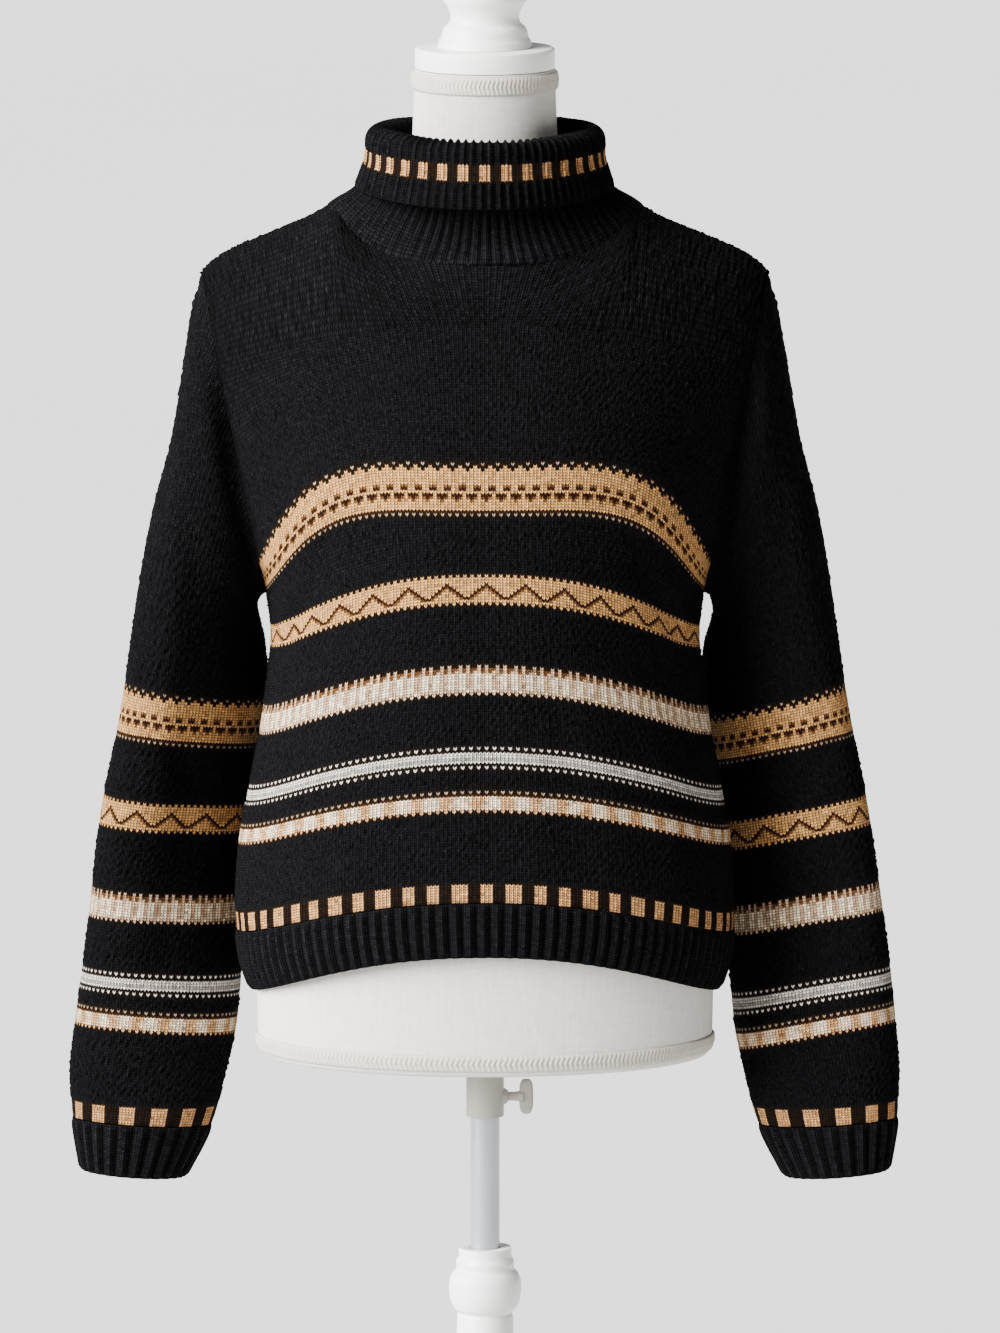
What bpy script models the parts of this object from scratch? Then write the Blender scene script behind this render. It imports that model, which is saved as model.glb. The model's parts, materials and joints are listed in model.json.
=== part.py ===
"""A chunky turtleneck sweater worn by a limbless dress form on a turned stand with four legs.

Metres, +Z up, and the front of the form faces -Y. The origin is on the floor, on the pole's axis.
The sweater is knitted pieces sewn together: front, back, two sleeves, two cuffs, two hem ribs and a
folded collar. Each is a thin wall through sections that are worked out from the tables below.
"""

import math

import bmesh
import bpy
import numpy as np

# Cloth
PANEL_WALL = 0.0025
RIB_WALL = 0.0030
COLLAR_WALL = 0.0034
SEAM_TRIM, SHOULDER_TRIM = 0.0003, 0.00045  # each piece stops this far short of its seam line
ARMHOLE_CLEAR_TOP, ARMHOLE_CLEAR_UNDERARM = 0.0015, 0.0030  # how far out a sleeve starts from the panels' edge

NECK_COLUMNS, SIDE_COLUMNS = 18, 5  # across the neckline, and from each neck point to the side
FRONT_LEVELS, BACK_LEVELS, YOKE_LEVELS = 11, 9, 6
RIB_LEVELS = 3
SLEEVE_POINTS, SLEEVE_LEVELS, CUFF_LEVELS = 18, 16, 3
COLLAR_POINTS, COLLAR_LEVELS = 36, 13

# Lower body, one row a section, hem to underarm: the side seam, then the middle of the front and back.
# name, side_z, half_width, side_y, front_z, front_y, front_arch, back_z, back_y, back_arch
BODY_ROWS = (
    ("hem edge", 0.858, 0.1880, 0.004, 0.9040, -0.1250, 2.2, 0.866, 0.1180, 2.0),
    ("rib middle", 0.883, 0.1955, 0.004, 0.9270, -0.1300, 2.2, 0.890, 0.1240, 2.0),
    ("rib top", 0.906, 0.1985, 0.004, 0.9493, -0.1325, 2.2, 0.914, 0.1265, 2.0),
    ("blocks top", 0.921, 0.1990, 0.004, 0.9646, -0.1330, 2.2, 0.929, 0.1265, 2.0),
    ("stripe", 0.984, 0.1950, 0.005, 1.0309, -0.1340, 2.2, 0.992, 0.1240, 2.0),
    ("white stripe", 1.016, 0.1890, 0.005, 1.0670, -0.1350, 2.2, 1.026, 0.1215, 2.0),
    ("cream band", 1.076, 0.1780, 0.006, 1.1290, -0.1380, 2.2, 1.088, 0.1175, 2.0),
    ("zigzag band", 1.145, 0.1705, 0.006, 1.2020, -0.1430, 2.4, 1.168, 0.1150, 2.0),
)
BODY_FULLNESS = 2.35

# Armhole, an upright loop, and the yoke's sections that end on it.
UNDERARM_OUT, UNDERARM_Z = 0.174, 1.180
CORNER_OUT, CORNER_Z = 0.226, 1.434
ARMHOLE_Y, ARMHOLE_HALF_DEPTH = 0.006, 0.050
# name, armhole_angle, middle_z, middle_y, fullness, edge_power, arch
FRONT_YOKE_ROWS = (
    ("wide band bottom", 0.0, 1.2601, -0.1450, 2.4, 2.0, 2.8),
    ("wide band top", 38.0, 1.3014, -0.1430, 2.6, 1.6, 3.2),
    ("chest", 76.0, 1.3600, -0.1280, 2.4, 1.3, 3.0),
    ("upper chest", 118.0, 1.4080, -0.1090, 2.2, 1.15, 2.2),
)
BACK_YOKE_ROWS = (
    ("blade bottom", 0.0, 1.2050, 0.1150, 2.4, 2.0, 2.4),
    ("blade", 38.0, 1.2550, 0.1180, 2.6, 1.6, 2.8),
    ("upper blade", 76.0, 1.3300, 0.1190, 2.4, 1.3, 2.6),
    ("upper back", 118.0, 1.4200, 0.1120, 2.2, 1.15, 2.2),
)

# Neckline ring and shoulder seam.
NECK_HALF_WIDTH = 0.1215
NECK_SIDE_Z = 1.4868
NECK_FRONT_Y, NECK_FRONT_Z = -0.0940, 1.4530
NECK_BACK_Y, NECK_BACK_Z = 0.0900, 1.4940
NECK_SHARE = 2 / math.pi * math.asin(NECK_HALF_WIDTH / CORNER_OUT)  # of the half width, as across counts it
SHOULDER_SLOPE = 0.41
SHOULDER_ROUND_FROM = 0.190
YOKE_LEAN_MIDDLE, YOKE_LEAN_SHOULDER = math.radians(50), math.radians(88)

# Sleeve sections, armhole to cuff, as seen from the front: the outer edge and the inner edge.
# name, outer_out, outer_z, inner_out, inner_z, centre_y, half_depth, inner_back
SLEEVE_ROWS = (
    ("cap", 0.2362, 1.3830, 0.1815, 1.1740, 0.009, 0.0570, 0.010),
    ("upper arm", 0.2490, 1.3050, 0.1845, 1.1600, 0.012, 0.0570, 0.020),
    ("below notch", 0.2650, 1.2420, 0.1822, 1.1460, 0.016, 0.0530, 0.032),
    ("arm", 0.2765, 1.1800, 0.1785, 1.1290, 0.020, 0.0490, 0.040),
    ("band one top", 0.2875, 1.1058, 0.1755, 1.0880, 0.025, 0.0450, 0.046),
    ("band one bottom", 0.2942, 1.0620, 0.1800, 1.0480, 0.028, 0.0430, 0.048),
    ("elbow", 0.3035, 1.0130, 0.1870, 1.0010, 0.030, 0.0410, 0.048),
    ("band three", 0.3150, 0.9380, 0.1950, 0.9290, 0.030, 0.0390, 0.042),
    ("band four", 0.3230, 0.8767, 0.1980, 0.8690, 0.027, 0.0370, 0.032),
    ("band five", 0.3286, 0.8273, 0.2020, 0.8200, 0.023, 0.0350, 0.022),
    ("above cuff", 0.3323, 0.7830, 0.2120, 0.7780, 0.019, 0.0330, 0.014),
    ("cuff seam", 0.3310, 0.7505, 0.2215, 0.7420, 0.017, 0.0310, 0.010),
    ("cuff edge", 0.3245, 0.7070, 0.2430, 0.6995, 0.015, 0.0270, 0.006),
)
CUFF_FROM_ROW = "cuff seam"

# Folded collar, neck seam to the flared edge: the half width and depths of each ring, then its heights.
# name, half_width, front_depth, back_depth, side_z, front_z, back_z
COLLAR_ROWS = (
    ("neck rib", 0.1055, 0.0850, 0.0805, 1.4985, 1.4690, 1.5030),
    ("neck", 0.0930, 0.0780, 0.0750, 1.5100, 1.4870, 1.5130),
    ("under fold", 0.0835, 0.0765, 0.0740, 1.5250, 1.5120, 1.5260),
    ("inner wall", 0.0752, 0.0755, 0.0735, 1.5420, 1.5400, 1.5420),
)
COLLAR_START = 0.0095  # share of the collar's length by which it clears the panels' edge
ROLL_RADIUS = 0.0090
ROLL_STEPS = 6
OUTER_ROWS = (
    ("stripe", 0.0935, 0.0955, 0.0925, 1.5310, 1.5275, 1.5300),
    ("skirt", 0.0974, 0.1000, 0.0955, 1.5160, 1.5120, 1.5150),
    ("flared edge", 0.1018, 0.1040, 0.0985, 1.5040, 1.4980, 1.5020),
)

# Dress form
FORM_CLOTH_GAP = 0.0003
FORM_POINTS = 32
# name, z, half_width, front_depth, back_depth
TORSO_ROWS = (
    ("underside", 0.8030, 0.1715, 0.1005, 0.0975),
    ("edge round", 0.8050, 0.1780, 0.1070, 0.1040),
    ("braid low", 0.8085, 0.1806, 0.1090, 0.1060),
    ("braid high", 0.8220, 0.1826, 0.1110, 0.1080),
    ("hip", 0.9000, 0.1835, 0.1120, 0.1090),
    ("upper hip", 0.9600, 0.1760, 0.1070, 0.1040),
    ("waist side", 1.0300, 0.1490, 0.0960, 0.0900),
    ("waist", 1.0900, 0.1330, 0.0900, 0.0830),
    ("ribs", 1.1600, 0.1400, 0.1020, 0.0900),
    ("under bust", 1.2200, 0.1500, 0.1230, 0.0980),
    ("bust", 1.2700, 0.1570, 0.1320, 0.1030),
    ("chest", 1.3300, 0.1590, 0.1200, 0.1060),
    ("armhole", 1.3800, 0.1700, 0.1000, 0.1030),
    ("shoulder point", 1.4200, 0.1850, 0.0800, 0.0900),
    ("shoulder", 1.4440, 0.1920, 0.0640, 0.0720),
    ("shoulder top", 1.4554, 0.1875, 0.0550, 0.0620),
    ("shoulder slope", 1.4661, 0.1640, 0.0490, 0.0575),
    ("shoulder neck", 1.4779, 0.1345, 0.0450, 0.0560),
    ("neck base", 1.4885, 0.1050, 0.0500, 0.0560),
    ("neck root", 1.4985, 0.0740, 0.0560, 0.0570),
    ("neck", 1.5120, 0.0600, 0.0565, 0.0565),
    ("neck braid low", 1.5830, 0.0564, 0.0562, 0.0562),
    ("neck braid high", 1.5975, 0.0562, 0.0560, 0.0560),
    ("neck top", 1.5990, 0.0556, 0.0554, 0.0554),
)

# Stand
POLE_RADIUS = 0.0118
POLE_LOW, POLE_HIGH = 0.480, 1.100
POLE_RUN = 0.0007  # radial room round the pole in the clamp, the column and the form
FORM_DROP, FORM_RISE = 0.100, 0.150
BORE_TOP_ROOM = 0.020
ROUND_STEPS = 32
CLAMP_RADIUS, CLAMP_LOW = 0.0152, 0.7527
CLAMP_BOSS_RADIUS, CLAMP_BOSS_OUT = 0.0062, 0.0185
SCREW_Z = 0.7685
SCREW_RADIUS, SCREW_HOLE_ROOM = 0.0036, 0.0004
SCREW_HEAD_FROM, SCREW_HEAD_TO = 0.0275, 0.0388
SCREW_WING_HALF, SCREW_WING_THICK = 0.0145, 0.0050
CONTACT_GAP = 0.0003

# Profiles, axis outwards, top to bottom: radius and height of each point down the turned side.
DISC_TOP, DISC_RADIUS, DISC_THICK = 1.6160, 0.0556, 0.0165
FINIAL_PROFILE = (
    ("crown", 0.0060, 1.7120),
    ("crown side", 0.0180, 1.7080),
    ("knob top", 0.0290, 1.6970),
    ("knob", 0.0348, 1.6820),
    ("knob low", 0.0352, 1.6690),
    ("under knob", 0.0335, 1.6560),
    ("neck top", 0.0290, 1.6480),
    ("neck", 0.0273, 1.6420),
    ("neck low", 0.0285, 1.6370),
    ("bell step", 0.0325, 1.6330),
    ("bell ring", 0.0338, 1.6300),
    ("bell ring low", 0.0345, 1.6262),
    ("bell", 0.0365, 1.6225),
    ("bell foot", 0.0378, 1.6175),
)
COLUMN_PROFILE = (
    ("cap rim", 0.0212, 0.6450),
    ("cap side", 0.0213, 0.6380),
    ("bead top", 0.0222, 0.6360),
    ("bead", 0.0236, 0.6325),
    ("bead low", 0.0232, 0.6290),
    ("groove", 0.0236, 0.6275),
    ("bulb shoulder", 0.0268, 0.6235),
    ("bulb high", 0.0288, 0.6180),
    ("bulb", 0.0292, 0.6110),
    ("bulb low", 0.0280, 0.6020),
    ("bulb foot", 0.0250, 0.5950),
    ("bulb end", 0.0215, 0.5918),
    ("shaft top", 0.0225, 0.5890),
    ("shaft", 0.0240, 0.5000),
    ("shaft swell", 0.0255, 0.4200),
    ("shaft low", 0.0225, 0.3450),
    ("ring top", 0.0215, 0.3320),
    ("ring", 0.0300, 0.3250),
    ("ring low", 0.0300, 0.3180),
    ("hub neck", 0.0240, 0.3100),
    ("hub top", 0.0340, 0.2950),
    ("hub", 0.0345, 0.2850),
    ("hub foot", 0.0345, 0.1500),
    ("drop top", 0.0300, 0.1380),
    ("drop", 0.0240, 0.1250),
    ("drop low", 0.0120, 0.1130),
)
HUB_RADIUS = 0.0345
LEG_THICK, LEG_ROUND = 0.024, 0.0025
LEG_COUNT, LEG_FIRST_ANGLE = 4, math.radians(-135)
LEG_SAMPLES = 15
# Leg outline in its own upright plane: distance from the axis and height, hub to toe along each side.
LEG_UPPER = ((0.030, 0.262), (0.075, 0.272), (0.125, 0.246), (0.170, 0.185), (0.210, 0.110),
             (0.250, 0.054), (0.290, 0.030))
LEG_LOWER = ((0.030, 0.168), (0.075, 0.184), (0.115, 0.165), (0.150, 0.120), (0.185, 0.062),
             (0.215, 0.022), (0.243, 0.000))
LEG_TOE_OUT = 0.297

# Trim
BRAID_THICK = 0.0022
NECK_BRAID_LOW, NECK_BRAID_HIGH = 1.5830, 1.5975
BASE_BRAID_LOW, BASE_BRAID_HIGH = 0.8085, 0.8220

# Finishes: base colour, roughness, metallic
FINISHES = {
    "black knit": ((0.012, 0.012, 0.013), 0.95, 0.0),
    "linen": ((0.78, 0.76, 0.72), 0.9, 0.0),
    "braid": ((0.74, 0.70, 0.64), 0.9, 0.0),
    "white paint": ((0.86, 0.85, 0.83), 0.45, 0.0),
    "grey plastic": ((0.42, 0.41, 0.37), 0.5, 0.0),
    "coated steel": ((0.62, 0.64, 0.66), 0.35, 0.6),
}


def smooth(knots, rows, at):
    """Cubic curve through the rows at the knots that never swings past them: each inner slope is the
    harmonic mean of the two neighbouring ones, or nothing where those differ in sign."""
    knots, rows, at = np.asarray(knots, float), np.asarray(rows, float), np.asarray(at, float)
    spans = np.diff(knots).reshape(-1, *[1] * (rows.ndim - 1))
    steps = np.diff(rows, axis=0) / spans
    before, after = steps[:-1], steps[1:]
    total = before + after
    inner = np.where(before * after > 0, 2 * before * after / np.where(total == 0, 1, total), 0)
    slopes = np.concatenate([steps[:1], inner, steps[-1:]])
    low = np.clip(np.searchsorted(knots, at, side="right") - 1, 0, len(knots) - 2)
    step = (knots[low + 1] - knots[low]).reshape(-1, *[1] * (rows.ndim - 1))
    part = (at - knots[low]).reshape(step.shape) / step
    hold, turn = 2 * part**3 - 3 * part**2 + 1, part**3 - 2 * part**2 + part
    return (hold * rows[low] + (1 - hold) * rows[low + 1]
            + step * (turn * slopes[low] + (part**3 - part**2) * slopes[low + 1]))


def knots_of(rows):
    """Distance along the cloth of each section, from the mean gap between one and the next."""
    gaps = np.linalg.norm(np.diff(rows, axis=0), axis=2).mean(axis=1)
    return np.concatenate([[0], np.cumsum(gaps)])


def armhole(angle, face):
    """Upright ellipse: 0 at the underarm, pi at the shoulder corner, over the front or the back."""
    rise = (1 - np.cos(angle)) / 2
    return (UNDERARM_OUT + (CORNER_OUT - UNDERARM_OUT) * rise,
            ARMHOLE_Y + face * ARMHOLE_HALF_DEPTH * np.sin(angle),
            UNDERARM_Z + (CORNER_Z - UNDERARM_Z) * rise)


def section(across, edge, middle_y, middle_z, fullness, edge_power, arch):
    """Half ring from side to side: y follows a superellipse, and z rises towards the middle."""
    half_width, edge_y, edge_z = edge
    side = np.sin(across * math.pi / 2)
    reach = np.abs(side)
    x = half_width * side
    y = edge_y + (middle_y - edge_y) * (1 - reach**fullness) ** (1 / edge_power)
    z = middle_z + (edge_z - middle_z) * reach**arch
    return np.stack([x, y, z], axis=-1)


def top_edge(across, face):
    """The neckline's half ring between the neck points, then the shoulder seam out to each corner."""
    neck_y, neck_z = (NECK_FRONT_Y, NECK_FRONT_Z) if face < 0 else (NECK_BACK_Y, NECK_BACK_Z)
    turn = np.clip(across / NECK_SHARE, -1, 1) * math.pi / 2
    out = np.maximum(CORNER_OUT * np.abs(np.sin(across * math.pi / 2)), NECK_HALF_WIDTH)
    on_neck = np.abs(across) < NECK_SHARE
    line = NECK_SIDE_Z - SHOULDER_SLOPE * (out - NECK_HALF_WIDTH)
    end_drop = NECK_SIDE_Z - SHOULDER_SLOPE * (CORNER_OUT - NECK_HALF_WIDTH) - CORNER_Z
    bend = np.maximum(out - SHOULDER_ROUND_FROM, 0) / (CORNER_OUT - SHOULDER_ROUND_FROM)
    x = np.where(on_neck, NECK_HALF_WIDTH * np.sin(turn), np.sign(across) * out)
    y = np.where(on_neck, neck_y * np.cos(turn) + 0.004 * np.sin(turn) ** 2,
                 0.004 + (ARMHOLE_Y - 0.004) * bend)
    z = np.where(on_neck, neck_z + (NECK_SIDE_Z - neck_z) * np.sin(turn) ** 4,
                 line - end_drop * bend**3)
    return np.stack([x, y, z], axis=-1)


def body_rows(across, face):
    """All sections of one panel from the hem edge to the upper chest, each as an array of points."""
    rows = []
    for _, side_z, half_width, side_y, front_z, front_y, front_arch, back_z, back_y, back_arch in BODY_ROWS:
        middle_y, middle_z, arch = (front_y, front_z, front_arch) if face < 0 else (back_y, back_z, back_arch)
        rows.append(section(across, (half_width, side_y, side_z), middle_y, middle_z, BODY_FULLNESS, 2, arch))
    for _, angle, middle_z, middle_y, fullness, edge_power, arch in (
        FRONT_YOKE_ROWS if face < 0 else BACK_YOKE_ROWS
    ):
        edge = armhole(math.radians(angle), face)
        rows.append(section(across, edge, middle_y, middle_z, fullness, edge_power, arch))
    return np.array(rows)


def panel_surface(across, up, face):
    """Panel of cloth. across runs side to side, -1 to 1. up is 0 at the hem edge and 1 at the upper
    chest section, in cloth length, and 1 to 2 over the shoulder, along a part of an ellipse."""
    rows = body_rows(across, face)
    knots = knots_of(rows)
    lower = smooth(knots, rows, np.minimum(up, 1) * knots[-1])
    chest, top = rows[-1], top_edge(across, face)
    off_middle = np.minimum(np.abs(across) / NECK_SHARE, 1)[:, None] ** 1.5
    lean = YOKE_LEAN_MIDDLE + (YOKE_LEAN_SHOULDER - YOKE_LEAN_MIDDLE) * off_middle
    along = np.clip(up - 1, 0, 1)[:, None, None]
    back_part = (1 - np.cos(along * lean)) / (1 - np.cos(lean))
    rise_part = np.sin(along * lean) / np.sin(lean)
    mix = np.concatenate([along + 0 * lean, back_part, rise_part], axis=-1)
    yoke = chest + (top - chest) * mix
    return np.where((up <= 1)[:, None, None], lower, yoke)


def up_of(row_name, face):
    """The up value of a named section."""
    knots = knots_of(body_rows(panel_across(), face))
    names = [row[0] for row in BODY_ROWS]
    return knots[names.index(row_name)] / knots[-1]


def sleeve_rings(turn, side):
    """Sections of a sleeve, armhole first: leaning ellipses through an outer and an inner edge point."""
    corner = np.array([CORNER_OUT + ARMHOLE_CLEAR_TOP, ARMHOLE_Y, CORNER_Z])
    underarm = np.array([UNDERARM_OUT + ARMHOLE_CLEAR_UNDERARM, ARMHOLE_Y, UNDERARM_Z])
    depth = np.array([0, ARMHOLE_HALF_DEPTH, 0])
    rings = [(corner, underarm, depth)]
    for _, outer_out, outer_z, inner_out, inner_z, centre_y, half_depth, inner_back in SLEEVE_ROWS:
        outer = np.array([outer_out, centre_y - inner_back / 2, outer_z])
        inner = np.array([inner_out, centre_y + inner_back, inner_z])
        rings.append((outer, inner, np.array([0, half_depth, 0])))
    wave, swing = np.cos(turn)[:, None], np.sin(turn)[:, None]
    points = [(outer + inner) / 2 + (outer - inner) / 2 * wave + depth * swing for outer, inner, depth in rings]
    return np.array(points) * np.array([side, 1, 1])


def sleeve_surface(turn, along, side):
    """Sleeve tube. turn goes round it from the outer edge, along is 0 at the armhole and 1 at the cuff's edge."""
    rings = sleeve_rings(turn, side)
    knots = knots_of(rings)
    return smooth(knots, rings, along * knots[-1])


def sleeve_share(row_name):
    """Where along the sleeve a named section lies, and the sleeve's mean length."""
    knots = knots_of(sleeve_rings(np.linspace(0, 2 * math.pi, 40), 1))
    return knots[1 + [row[0] for row in SLEEVE_ROWS].index(row_name)] / knots[-1], knots[-1]


def collar_ring(turn, half_width, front_depth, back_depth, side_z, front_z, back_z):
    """Level-ish ring: an ellipse with its own depth in front and behind, whose height varies round it."""
    front = np.cos(turn)
    depth = np.where(front > 0, front_depth, back_depth)
    height = np.where(front > 0, front_z, back_z)
    blend = np.abs(front) ** 2
    return np.stack([half_width * np.sin(turn), -depth * front, side_z + (height - side_z) * blend], axis=-1)


def neckline(turn):
    """The ring on which the panels' necklines lie, front at turn 0."""
    half_turn = np.arcsin(np.sin(turn)) / (math.pi / 2) * NECK_SHARE
    in_front = (np.cos(turn) > 0)[:, None]
    return np.where(in_front, top_edge(half_turn, -1), top_edge(half_turn, 1))


def collar_surface(turn, along):
    """Folded tube: up from the neck seam, over a round roll, and down outside to the flared edge."""
    rings = [neckline(turn)]
    rings += [collar_ring(turn, *row[1:]) for row in COLLAR_ROWS]
    wall = COLLAR_ROWS[-1][1:]
    for step in range(1, ROLL_STEPS + 1):
        angle = math.pi * step / ROLL_STEPS
        out, lift = ROLL_RADIUS * (1 - math.cos(angle)), ROLL_RADIUS * math.sin(angle)
        grown = [wall[0] + out, wall[1] + out, wall[2] + out, wall[3] + lift, wall[4] + lift, wall[5] + lift]
        rings.append(collar_ring(turn, *grown))
    rings += [collar_ring(turn, *row[1:]) for row in OUTER_ROWS]
    rings = np.array(rings)
    knots = knots_of(rings)
    return smooth(knots, rings, along * knots[-1])


def named_material(name):
    """The finish of that name, made once."""
    material = bpy.data.materials.get(name)
    if material is None:
        colour, roughness, metallic = FINISHES[name]
        material = bpy.data.materials.new(name)
        material.use_nodes = True
        shader = material.node_tree.nodes["Principled BSDF"]
        shader.inputs["Base Color"].default_value = (*colour, 1)
        shader.inputs["Roughness"].default_value = roughness
        shader.inputs["Metallic"].default_value = metallic
    return material


def new_collection(name):
    collection = bpy.data.collections.new(name)
    bpy.context.scene.collection.children.link(collection)
    return collection


def add_object(name, data, finish, collection):
    """An object holding this data, in this collection, with this finish."""
    thing = bpy.data.objects.new(name, data)
    collection.objects.link(thing)
    if finish:
        thing.data.materials.append(named_material(finish))
    if thing.type == "MESH":
        thing.data.shade_smooth()
    return thing


def grid_faces(levels, points, closed):
    """Four-cornered faces over a grid of points, level by level, optionally closed round."""
    row, column = np.meshgrid(np.arange(levels - 1), np.arange(points if closed else points - 1), indexing="ij")
    here, beside = row * points + column, row * points + (column + 1) % points
    return np.stack([here, beside, beside + points, here + points], axis=-1).reshape(-1, 4)


def cloth_piece(name, grid, closed, wall, flip, collection):
    """Cloth of this thickness over a grid of points, with half the wall on each side of it."""
    levels, points = grid.shape[:2]
    faces = grid_faces(levels, points, closed)
    mesh = bpy.data.meshes.new(name)
    mesh.from_pydata(grid.reshape(-1, 3).tolist(), [], (faces[:, ::-1] if flip else faces).tolist())
    piece = add_object(name, mesh, "black knit", collection)
    solidify = piece.modifiers.new("wall", "SOLIDIFY")
    solidify.thickness = wall
    solidify.offset = 0
    solidify.use_even_offset = True
    solidify.use_quality_normals = True
    return piece


def drawn_in(grid, sides):
    """The grid with each named border moved towards the points next to it, to leave a gap at the seam."""
    grid = grid.copy()
    borders = {"start": (0, 1, 0, SEAM_TRIM), "end": (-1, -2, 0, SEAM_TRIM), "shoulder": (-1, -2, 0, SHOULDER_TRIM),
               "low side": (0, 1, 1, SEAM_TRIM), "high side": (-1, -2, 1, SEAM_TRIM)}
    for side in sides:
        border, beside, axis, trim = borders[side]
        edge, inner = grid.take(border, axis), grid.take(beside, axis)
        step = inner - edge
        step *= trim / np.linalg.norm(step, axis=-1, keepdims=True)
        grid[(slice(None), border) if axis else border] = edge + step
    return grid


def panel_across():
    """Values of across for the panels' columns, closer together over the neckline."""
    side = np.linspace(NECK_SHARE, 1, SIDE_COLUMNS + 1)[1:]
    return np.concatenate([-side[::-1], np.linspace(-NECK_SHARE, NECK_SHARE, NECK_COLUMNS + 1), side])


def add_panels(collection):
    """Front and back, each from the hem rib to the shoulder, and the ribs below them."""
    across = panel_across()
    for label, face, levels in (("front", -1, FRONT_LEVELS), ("back", 1, BACK_LEVELS)):
        rib_top = up_of("rib top", face)
        up = np.concatenate([np.linspace(rib_top, 1, levels + 1), np.linspace(1, 2, YOKE_LEVELS + 1)[1:]])
        grid = drawn_in(panel_surface(across, up, face), ("start", "shoulder", "low side", "high side"))
        cloth_piece(label, grid, False, PANEL_WALL, face < 0, collection)
        rib = panel_surface(across, np.linspace(0, rib_top, RIB_LEVELS + 1), face)
        grid = drawn_in(rib, ("end", "low side", "high side"))
        cloth_piece(f"hem_rib_{label}", grid, False, RIB_WALL, face < 0, collection)


def add_sleeves(collection):
    """Each sleeve tube and its cuff. The wearer's right is at -X."""
    turn = np.linspace(0, 2 * math.pi, SLEEVE_POINTS, endpoint=False)
    cuff_share, _ = sleeve_share(CUFF_FROM_ROW)
    for label, side in (("right", -1), ("left", 1)):
        tube = sleeve_surface(turn, np.linspace(0, cuff_share, SLEEVE_LEVELS + 1), side)
        cloth_piece(f"sleeve_{label}", drawn_in(tube, ("end",)), True, PANEL_WALL, side < 0, collection)
        cuff = sleeve_surface(turn, np.linspace(cuff_share, 1, CUFF_LEVELS + 1), side)
        cloth_piece(f"cuff_{label}", drawn_in(cuff, ("start",)), True, RIB_WALL, side < 0, collection)


def add_collar(collection):
    """The folded turtleneck, from just clear of the neck seam."""
    turn = np.linspace(0, 2 * math.pi, COLLAR_POINTS, endpoint=False)
    along = np.linspace(COLLAR_START, 1, COLLAR_LEVELS + 1)
    cloth_piece("collar", collar_surface(turn, along), True, COLLAR_WALL, False, collection)


def ring_loft(name, rings, finish, collection):
    """Closed solid through rings of equal point counts, with flat ends."""
    levels, points = rings.shape[:2]
    faces = grid_faces(levels, points, True).tolist()
    faces.append(list(range(points))[::-1])
    faces.append(list(range((levels - 1) * points, levels * points)))
    mesh = bpy.data.meshes.new(name)
    mesh.from_pydata(rings.reshape(-1, 3).tolist(), [], faces)
    solid = add_object(name, mesh, finish, collection)
    solid.data.set_sharp_from_angle(angle=math.radians(40))
    return solid


def torso_ring(turn, z, grow=0.0):
    """The torso's section at height z, an ellipse with its own depth in front and behind."""
    table = np.array([row[1:] for row in TORSO_ROWS])
    half_width, front, back = smooth(table[:, 0], table[:, 1:], np.array([z]))[0]
    depth = np.where(np.cos(turn) > 0, front, back) + grow
    return np.stack([(half_width + grow) * np.sin(turn), -depth * np.cos(turn), np.full_like(turn, z)], axis=-1)


def cylinder(name, radius, low, high, collection, finish=None, steps=ROUND_STEPS):
    """Upright cylinder about the pole's axis."""
    mesh = bpy.data.meshes.new(name)
    shape = bmesh.new()
    bmesh.ops.create_cone(shape, cap_ends=True, segments=steps, radius1=radius, radius2=radius, depth=high - low)
    bmesh.ops.translate(shape, verts=shape.verts, vec=(0, 0, (low + high) / 2))
    shape.to_mesh(mesh)
    shape.free()
    return add_object(name, mesh, finish, collection)


def as_cutter(thing):
    thing.hide_render = True
    thing.display_type = "WIRE"
    return thing


def combine(target, other, operation):
    """Exact Boolean of one object with another."""
    boolean = target.modifiers.new(f"{operation.lower()} {other.name}", "BOOLEAN")
    boolean.operation = operation
    boolean.object = other
    boolean.solver = "EXACT"


def add_torso(collection, cutters):
    """Linen torso with a blind bore for the pole, deep enough for the form's lowest place."""
    turn = np.linspace(0, 2 * math.pi, FORM_POINTS, endpoint=False)
    heights = [row[1] for row in TORSO_ROWS]
    rings = np.array([torso_ring(turn, z) for z in heights])
    torso = ring_loft("torso", rings, "linen", collection)
    bore_top = POLE_HIGH + FORM_DROP + BORE_TOP_ROOM
    bore = cylinder("torso bore", POLE_RADIUS + POLE_RUN, heights[0] - 0.01, bore_top, cutters)
    combine(torso, as_cutter(bore), "DIFFERENCE")


def add_braid(name, low, high, collection):
    """Flat braid round the torso, 0.3 mm off it, as a closed band."""
    turn = np.linspace(0, 2 * math.pi, FORM_POINTS, endpoint=False)
    middle = (low + high) / 2
    inner, outer = CONTACT_GAP, CONTACT_GAP + BRAID_THICK
    outline = [(low, inner), (low, outer * 0.7), (middle, outer), (high, outer * 0.7), (high, inner)]
    rings = np.array([torso_ring(turn, z, grow) for z, grow in outline])
    levels, points = rings.shape[:2]
    faces = grid_faces(levels, points, True).tolist()
    last = (levels - 1) * points
    faces += [[last + i, last + (i + 1) % points, (i + 1) % points, i] for i in range(points)]
    mesh = bpy.data.meshes.new(name)
    mesh.from_pydata(rings.reshape(-1, 3).tolist(), [], faces)
    add_object(name, mesh, "braid", collection)


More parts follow.
